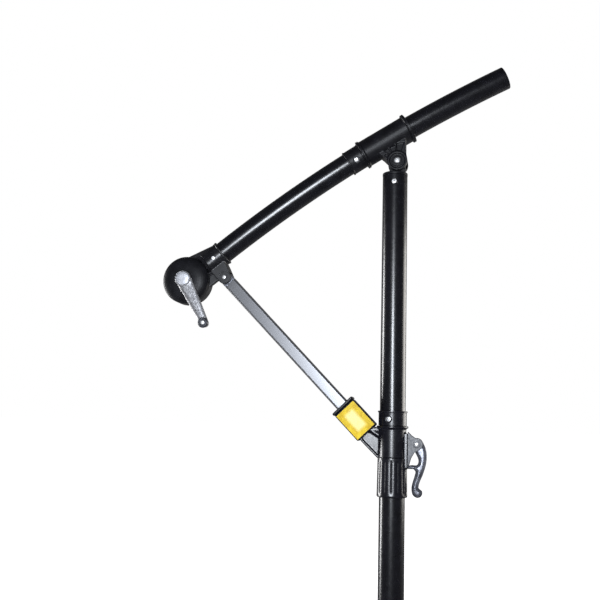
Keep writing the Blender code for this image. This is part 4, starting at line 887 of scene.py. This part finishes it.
def on_crank(along, side):
    c, s = math.cos(CRANK_ANGLE), math.sin(CRANK_ANGLE)
    return (CRANK_AXIS.x + along * c - side * s, CRANK_AXIS.z + along * s + side * c)


def make_crank():
    """Die-cast arm: hub disc under the cap, rounded back, long groove down the front."""
    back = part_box("crank_arm")[1].y
    front = -37.0 * MM
    hub_r = 15.7 * MM
    disc_r = hub_r - 0.3 * MM
    deg = math.degrees(CRANK_ANGLE)
    tip_x, tip_z = on_crank(CRANK_LENGTH, 0)
    tip = Vector((tip_x, 0, tip_z))
    outline = arc(CRANK_AXIS.x, CRANK_AXIS.z, hub_r, deg + 82, deg + 278, 48)
    outline += arc(tip_x, tip_z, 7.6 * MM, deg - 84, deg + 84, 28)
    arm = slab("crank_skin", outline, front, back, edge=0.6 * MM)
    groove = [on_crank(21 * MM, 1.0 * MM), on_crank(90 * MM, 0.6 * MM)]
    groove += [on_crank(90 * MM + 2.0 * MM * math.sin(t), 2.5 * MM - 1.9 * MM * math.cos(t))
               for t in (0.8, 1.6, 2.4)]
    groove += [on_crank(90 * MM, 4.4 * MM), on_crank(21 * MM, 8.6 * MM)]
    trough = slab("groove", groove, front - 3 * MM, front + 1.5 * MM)
    corners = mm((20, -5.5), (84, -3.0), (84, 3.0), (20, 5.5))
    hollow = slab("hollow", [on_crank(*corner) for corner in corners], back - 3 * MM, back + 3 * MM)
    pocket = bar_along_y("pocket", 13.6 * MM, CRANK_AXIS, front - 0.4 * MM, front - 9 * MM)
    bore = bar_along_y("bore", 5.3 * MM, CRANK_AXIS, back + 5 * MM, back - 4 * MM)
    knob_hole = bar_along_y("knob_hole", 2.8 * MM, tip, -20 * MM, -60 * MM)
    disc = spun("hub_disc", [(0, 2.6 * MM), (hub_r - 0.9 * MM, 2.6 * MM), (disc_r, 2.0 * MM),
                             (disc_r, -2 * MM), (0, -2 * MM)],
                at_y(CRANK_AXIS, front), FRONT, soft=0.2 * MM)
    carve(arm, join=(disc,), cut=(trough, hollow, pocket, bore, knob_hole))
    cast(arm, voxel=0.4 * MM, smooth=3, keep=0.5)
    crowned(arm, outline, 7.0 * MM, 0.60, [(CRANK_AXIS, hub_r - 1 * MM), (KNOB_AXIS, 5.5 * MM)], base=back)
    stand_in(arm, "crank_arm")
    low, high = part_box("crank_cap")
    cap_r = (high.x - low.x) / 2
    cap_h = high.y - low.y
    dome = [(6 * MM, 0.97), (9.6 * MM, 0.86), (10.6 * MM, 0.80), (11.0 * MM, 0.66), (12.0 * MM, 0.62),
            (12.8 * MM, 0.50), (cap_r, 0.28)]
    profile = [(0, cap_h)] + [(radius, cap_h * share) for radius, share in dome] + [(cap_r, 0), (0, 0)]
    cap = spun("crank_cap_skin", profile, at_y(CRANK_AXIS, high.y), FRONT, soft=0.3 * MM)
    stand_in(cap, "crank_cap")


def make_knob():
    """Bevelled knob with the domed head of its pin."""
    low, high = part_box("crank_knob")
    height = high.y - low.y
    wide = (high.x - low.x) / 2
    inner = 2.8 * MM
    recess = 4.9 * MM
    profile = [(recess, height), (wide - 2.1 * MM, height), (wide - 1.6 * MM, height - 0.4 * MM),
               (wide - 0.3 * MM, height - 2.4 * MM), (wide, height - 3.6 * MM),
               (wide - 0.4 * MM, height * 0.45), (wide - 1.9 * MM, height * 0.17), (wide - 2.0 * MM, 0),
               (inner, 0), (inner, height - 2 * MM), (recess, height - 2 * MM)]
    knob = spun("crank_knob_skin", profile, at_y(KNOB_AXIS, high.y), FRONT, closed=True, soft=0.5 * MM)
    stand_in(knob, "crank_knob", finish="plate_casting")
    low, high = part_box("knob_pin")
    head = 1.6 * MM
    length = high.y - low.y - head
    profile = [(0, head), (2.4 * MM, head * 0.94), (3.8 * MM, head * 0.7), (4.4 * MM, 0.4 * MM),
               (4.4 * MM, 0), (2.5 * MM, 0), (2.5 * MM, -length), (0, -length)]
    pin = spun("knob_pin_skin", profile, at_y(KNOB_AXIS, low.y + head), FRONT, segments=48, soft=0.2 * MM)
    stand_in(pin, "knob_pin")


# ---------------------------------------------------------------- strut and socket

def rounded_frame(half_w, half_y, corner, steps=6):
    """Rounded rectangle as (side, y) points."""
    points = []
    for cx, cy, start in ((1, 1, 0), (-1, 1, 90), (-1, -1, 180), (1, -1, 270)):
        for i in range(steps + 1):
            a = math.radians(start + 90 * i / steps)
            points.append((cx * (half_w - corner) + corner * math.cos(a),
                           cy * (half_y - corner) + corner * math.sin(a)))
    return points


def strut_loft(name, sections, closed=False):
    """Loops (along, half width, half y, corner) skinned along the strut."""
    points = []
    rings = []
    for along, half_w, half_y, corner in sections:
        loop = rounded_frame(half_w, half_y, corner)
        rings.append(next_ring(points, len(loop)))
        for side, y in loop:
            x, z = on_strut(along, side)
            points.append((x, y, z))
    pairs = list(zip(rings, rings[1:]))
    faces = []
    if closed:
        pairs.append((rings[-1], rings[0]))
    else:
        faces += [rings[0][::-1], rings[-1]]
    return solid(name, points, faces + quads(pairs))


def make_strut():
    start, end = 15 * MM, STRUT_LENGTH - 20 * MM
    w, y, wall, lip = 12.5 * MM, 10.0 * MM, 1.5 * MM, 0.3 * MM
    outer = [(start, w - lip, y - lip, 4.0 * MM), (start + lip, w, y, 4.3 * MM)]
    outer += [(start + lip + (end - start - 2 * lip) * i / 24, w, y, 4.3 * MM) for i in range(1, 25)]
    outer += [(end, w - lip, y - lip, 4.0 * MM)]
    inner = [(end, w - wall, y - wall, 2.8 * MM), (start, w - wall, y - wall, 2.8 * MM)]
    tube = strut_loft("strut_skin", outer + inner, closed=True)
    even_normals(stand_in(tube, "strut_tube"))
    ring = spun("eye_ring", mm((12.3, 9.4), (11.7, 10.0), (6, 10.0), (6, -10.0), (11.7, -10.0), (12.3, -9.4)),
                PIN_TOP, FRONT, closed=True)
    eye = cast(copy_of("strut_top_eye", "strut_eye_skin"), [ring], voxel=0.5 * MM, smooth=3)
    stand_in(eye, "strut_top_eye")
    low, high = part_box("strut_top_pin")
    turned_pin("strut_top_pin", PIN_TOP, low.y, high.y, 3.0 * MM, 4.0 * MM, 2.0 * MM)
    low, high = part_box("strut_lower_pin")
    turned_pin("strut_lower_pin", PIN_LOW, high.y, low.y, 4.0 * MM, 7.0 * MM, 3.0 * MM)


def turned_pin(node, axis, y_top, y_end, shank_r, head_r, head_h):
    """A pin with a domed head whose top is at y_top."""
    outward = 1 if y_top > y_end else -1
    length = abs(y_end - y_top) - head_h
    dome = [(head_r * math.sin(a), head_h * (0.35 + 0.65 * math.cos(a)))
            for a in (0, 0.35, 0.7, 1.0, 1.25, 1.45)]
    profile = dome + [(head_r, head_h * 0.3), (head_r, 0), (shank_r, 0), (shank_r, 0.6 * MM - length),
                      (shank_r - 0.5 * MM, -length), (0, -length)]
    seat = at_y(axis, y_top - outward * head_h)
    stand_in(spun(node + "_skin", profile, seat, Vector((0, outward, 0)), segments=48, soft=0.2 * MM), node)


def make_socket():
    """Moulded box with panelled sides, its rim, and the film on its front."""
    low = SOCKET_FOOT
    high = low - 64 * MM
    half, half_y = 23.5 * MM, 17.0 * MM
    panels = []
    for side in (-1, 1):
        x, z = on_strut((high + low) / 2 - 5 * MM, side * (half + 2.4 * MM))
        panels.append(box_solid(f"panel_{side + 1}", Vector((x, 0, z)), (38 * MM, 22 * MM, 6.4 * MM),
                                STRUT_ANGLE, edge=0.6 * MM))
    socket = carve(copy_of("strut_socket", "socket_skin"), cut=panels)
    stand_in(cast(socket, voxel=0.6 * MM, smooth=4, keep=0.4), "strut_socket")
    top = high - 0.3 * MM
    w, y = half + 1.3 * MM, half_y + 0.8 * MM
    w_in, y_in = 12.8 * MM, 10.3 * MM
    rim = strut_loft("socket_rim_skin", [
        (top, w_in, y_in, 1.0 * MM), (top, w - 1.6 * MM, y - 1.6 * MM, 2.0 * MM),
        (top - 0.5 * MM, w - 0.5 * MM, y - 0.5 * MM, 2.6 * MM), (top - 1.5 * MM, w, y, 3.0 * MM),
        (top - 4.0 * MM, w, y, 3.0 * MM), (top - 5.0 * MM, w - 0.4 * MM, y - 0.4 * MM, 2.8 * MM),
        (top - 5.5 * MM, w - 1.5 * MM, y - 1.5 * MM, 2.2 * MM),
        (top - 5.3 * MM, w - 4.0 * MM, y - 3.2 * MM, 2.0 * MM),
        (top - 4.4 * MM, w_in + 1.5 * MM, y_in + 1.2 * MM, 1.4 * MM), (top - 4.2 * MM, w_in, y_in, 1.0 * MM)],
        closed=True)
    stand_in(rim, "socket_rim", sharp=40)
    film_low, film_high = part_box("yellow_label")
    outline = [on_strut(LABEL_MIDDLE + a, s)
               for a, s in rounded_frame(LABEL_HALF_LONG, LABEL_HALF_WIDE, 2.0 * MM)]
    film = slab("label_skin", outline, film_low.y, film_high.y, edge=0.12 * MM, steps=2)
    stand_in(film, "yellow_label", sharp=30)


# ---------------------------------------------------------------- collar

def bars_on_faces(name, radius, lines, face, segments):
    """Round bars along lines (start, end) in the XZ plane, flush with the front and the rear face."""
    return [bar(f"{name}_{side + 1}_{i}", radius, (a[0], side * (face - radius), a[1]),
                (b[0], side * (face - radius), b[1]), segments)
            for side in (-1, 1) for i, (a, b) in enumerate(lines)]


def make_collar():
    """Collar tube with a shoulder, and the strut's lug with a border bar and two root bars on each face."""
    radius = 25.75 * MM
    bore = 24.5 * MM
    shoulder = 329.5 * MM
    shoulder_r = 29.5 * MM
    top = shoulder + 4.0 * MM
    seam = 275.2 * MM
    skin = spun("collar_tube", [(bore, top), (28.7 * MM, top), (shoulder_r, top - 0.9 * MM),
                                (shoulder_r, shoulder + 0.7 * MM), (28.6 * MM, shoulder - 0.1 * MM),
                                (26.8 * MM, shoulder - 0.8 * MM), (radius, shoulder - 2.4 * MM),
                                (radius, seam + 0.4 * MM), (radius - 0.4 * MM, seam), (bore, seam)],
                (0, 0, 0), UP, closed=True, segments=144)
    window = box_solid("window", Vector((28.5 * MM, 0, 259.05 * MM)), (30 * MM, 15.2 * MM, 9.9 * MM))
    holes = [bar(f"screw_{z:.3f}", 1.6 * MM, (24.9 * MM, 0, z), (45 * MM, 0, z), 24)
             for z in (314.0 * MM, 281.0 * MM)]
    carve(skin, cut=(window, *holes))
    face = 9.8 * MM
    floor = 5.0 * MM
    eye_r, inset = 13.2 * MM, 2.2 * MM
    eye = on_both_sides("eye", mm((7.8, 0), (10.4, 0), (11.0, -0.5), (11.0, -5.2), (7.8, -5.2)),
                        PIN_LOW, face, segments=72)
    region = mm((-25.9, 262), (-75, 300), (-75, 345), (-25.9, 345))
    shaved = [slab(f"shaved_{side + 1}", region, *sorted((side * floor, side * 20 * MM))) for side in (-1, 1)]
    path = mm((-24, 274.0), (-56.0, 305.0))
    path += arc(PIN_LOW.x, PIN_LOW.z, eye_r - inset, 200, 66, 10)
    path += [(-44 * MM, shoulder - 1.5 * MM), (-24 * MM, shoulder - 1.2 * MM)]
    beads = bars_on_faces("bead", 2.5 * MM, list(zip(path, path[1:])), face, 20)
    roots = [mm((-46, 325.0), (-24, 325.0)), mm((-38, 323.5), (-24, 315.0))]
    beads += bars_on_faces("root", 4.4 * MM, roots, face, 32)
    collar = carve(copy_of("collar_body", "collar_skin"), cut=shaved)
    stand_in(cast(collar, [skin, *eye, *beads], voxel=0.6 * MM, smooth=6, keep=0.5), "collar_body",
             finish="gloss_plastic")


def make_collar_neck():
    low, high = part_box("collar_neck_bush")
    radius = 26.25 * MM
    bore = 24.5 * MM
    lip = 27.6 * MM
    profile = [(bore, high.z), (27.0 * MM, high.z), (lip, high.z - 0.6 * MM), (lip, high.z - 2.6 * MM),
               (radius, high.z - 3.4 * MM), (radius, low.z + 0.3 * MM), (radius - 0.3 * MM, low.z),
               (bore, low.z)]
    neck = spun("collar_neck_skin", profile, (0, 0, 0), UP, closed=True, segments=128, soft=0.3 * MM)
    turn = math.radians(-13)
    outward = Vector((math.sin(turn), -math.cos(turn), 0))
    centre = UP * (345.9 * MM)
    dished(neck, centre, outward, radius - 0.9 * MM, 6.8 * MM, 2.0 * MM)
    stand_in(neck, "collar_neck_bush", finish="gloss_plastic", sharp=28)
    pop_rivet("collar_rivet", centre + outward * (radius - 0.6 * MM), outward, 5.0 * MM)


def make_grip():
    """Fluted grip: wide flutes that run out before a plain band and a rolled foot."""
    low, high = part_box("collar_grip")
    flutes = 14
    around = flutes * 18
    length = high.z - low.z
    foot_r, top_r, bore = 28.4 * MM, 27.2 * MM, 24.5 * MM
    rows = [(0.0, -1.6), (0.004, -0.8), (0.012, -0.3), (0.025, 0.0), (0.05, 0.15), (0.065, 0.0)]
    rows += [(0.075 + 0.87 * i / 24, 0.0) for i in range(25)]
    rows += [(0.96, 0.0), (0.985, 0.0), (0.995, -0.2), (1.0, -0.6)]
    points = []
    rings = []

    def run_out(t):
        """0 where the grip is plain and 1 where the flutes are at their full depth."""
        return max(0.0, min(1.0, (t - 0.07) / 0.05, (0.95 - t) / 0.05))

    for t, step in rows:
        rings.append(next_ring(points, around))
        for k in range(around):
            a = 2 * math.pi * k / around
            wave = abs(math.cos(flutes * a / 2)) ** 0.8
            radius = foot_r + (top_r - foot_r) * t + step * MM - 0.95 * MM * (1 - wave) * run_out(t)
            points.append((radius * math.cos(a), radius * math.sin(a), low.z + t * length))
    for t in (1.0, 0.0):
        rings.append(next_ring(points, around))
        for k in range(around):
            a = 2 * math.pi * k / around
            points.append((bore * math.cos(a), bore * math.sin(a), low.z + t * length))
    grip = solid("grip_skin", points, quads(zip(rings, rings[1:] + rings[:1])))
    boss_low, boss_half = 254.0 * MM, 12.8 * MM
    notch = box_solid("notch", Vector((35 * MM, 0, (boss_low + high.z) / 2 + 5 * MM)),
                      (34 * MM, 2 * boss_half, high.z - boss_low + 10 * MM))
    lug_notch = box_solid("lug_notch", Vector((-35 * MM, 0, high.z)), (30 * MM, 20.2 * MM, 6.4 * MM))
    stand_in(carve(grip, cut=(notch, lug_notch)), "collar_grip", finish="gloss_plastic", sharp=32)


# ---------------------------------------------------------------- brake lever

def curve_outline(points, per_side=10):
    """A smooth closed outline through the points (Catmull-Rom); a third value of 1 keeps a corner."""
    result = []
    count = len(points)
    for i in range(count):
        p0, p1, p2, p3 = (np.array(points[(i + k) % count][:2], float) for k in (-1, 0, 1, 2))
        if points[i][2]:
            p0 = 2 * p1 - p2
        if points[(i + 1) % count][2]:
            p3 = 2 * p2 - p1
        for k in range(per_side):
            t = k / per_side
            a = -t + 2 * t * t - t ** 3
            b = 2 - 5 * t * t + 3 * t ** 3
            c = t + 4 * t * t - 3 * t ** 3
            d = -t * t + t ** 3
            result.append(tuple(0.5 * (a * p0 + b * p1 + c * p2 + d * p3) * MM))
    return result


LEVER_OUTLINE = [(44.0, 311.0, 0), (54.3, 307.6, 0), (62.4, 290.5, 0), (63.2, 270.5, 0), (57.8, 249.1, 0),
                 (50.8, 231.6, 0), (49.2, 221.6, 0), (55.6, 215.4, 0), (54.0, 207.2, 0), (46.2, 204.0, 0),
                 (37.9, 209.6, 0), (36.2, 224.0, 0), (41.4, 243.0, 0), (43.0, 251.0, 0), (39.4, 255.6, 1),
                 (28.0, 255.6, 1), (28.0, 261.2, 1), (36.0, 262.6, 0), (45.6, 263.0, 0), (48.4, 272.5, 0),
                 (42.0, 287.0, 0), (36.0, 297.5, 0), (37.0, 307.0, 0)]


def make_lever():
    """Cast lever with a crowned section, and two ribs beside its pivot."""
    half = 7.2 * MM
    outline = curve_outline(LEVER_OUTLINE, 6)
    lever = slab("lever_skin", outline, -half, half)
    spring_room = bar_along_y("spring_room", 7.4 * MM, PIVOT, 2.6 * MM, 12 * MM)
    hole = bar_along_y("hole", 3.3 * MM, PIVOT, -20 * MM, 20 * MM)
    carve(lever, cut=(spring_room, hole))
    ribs = [box_solid(f"rib_{k}", Vector((PIVOT.x + x, -half + 0.5 * MM, PIVOT.z + z)),
                      (8.5 * MM, 2.2 * MM, 1.5 * MM), math.radians(38), edge=0.5 * MM)
            for k, (x, z) in enumerate(((1.5 * MM, -7.2 * MM), (4.5 * MM, -4.2 * MM)))]
    lever = cast(lever, ribs, voxel=0.5 * MM, smooth=5, keep=0.5)
    stand_in(crowned(lever, outline, 6.0 * MM, 0.5, [(PIVOT, 6 * MM)]), "lever")


def make_lever_bracket():
    ring = mm((3.4, 0.6), (6.2, 0.6), (7.0, 0), (7.0, -2), (3.4, -2))
    bosses = on_both_sides("boss", ring, PIVOT, 10.4 * MM, segments=64)
    bracket = cast(copy_of("lever_bracket", "lever_bracket_skin"), bosses, voxel=0.4 * MM, smooth=8)
    stand_in(bracket, "lever_bracket", finish="plate_casting")
    low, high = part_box("lever_pin")
    turned_pin("lever_pin", PIVOT, low.y, high.y, 3.0 * MM, 3.9 * MM, 1.8 * MM)


# ---------------------------------------------------------------- run

make_camera()
make_world()
make_floor()
for light in LIGHTS:
    make_softbox(*light)
bpy.context.scene.view_settings.view_transform = "Standard"
SLOT_OF = {subpart["node"]: subpart["material_slot"] for subpart in frame["record"]["subparts"]}
materials = make_materials()
for node_name, node in frame["nodes"].items():
    node.data.materials.clear()
    node.data.materials.append(materials[SLOT_OF[node_name]])

make_mast()
make_arm()
make_arm_bracket()
make_neck()
make_top_hinge()
make_cover()
make_housing()
make_cover_screws()
make_crank()
make_knob()
make_strut()
make_socket()
make_collar()
make_collar_neck()
make_grip()
make_lever()
make_lever_bracket()
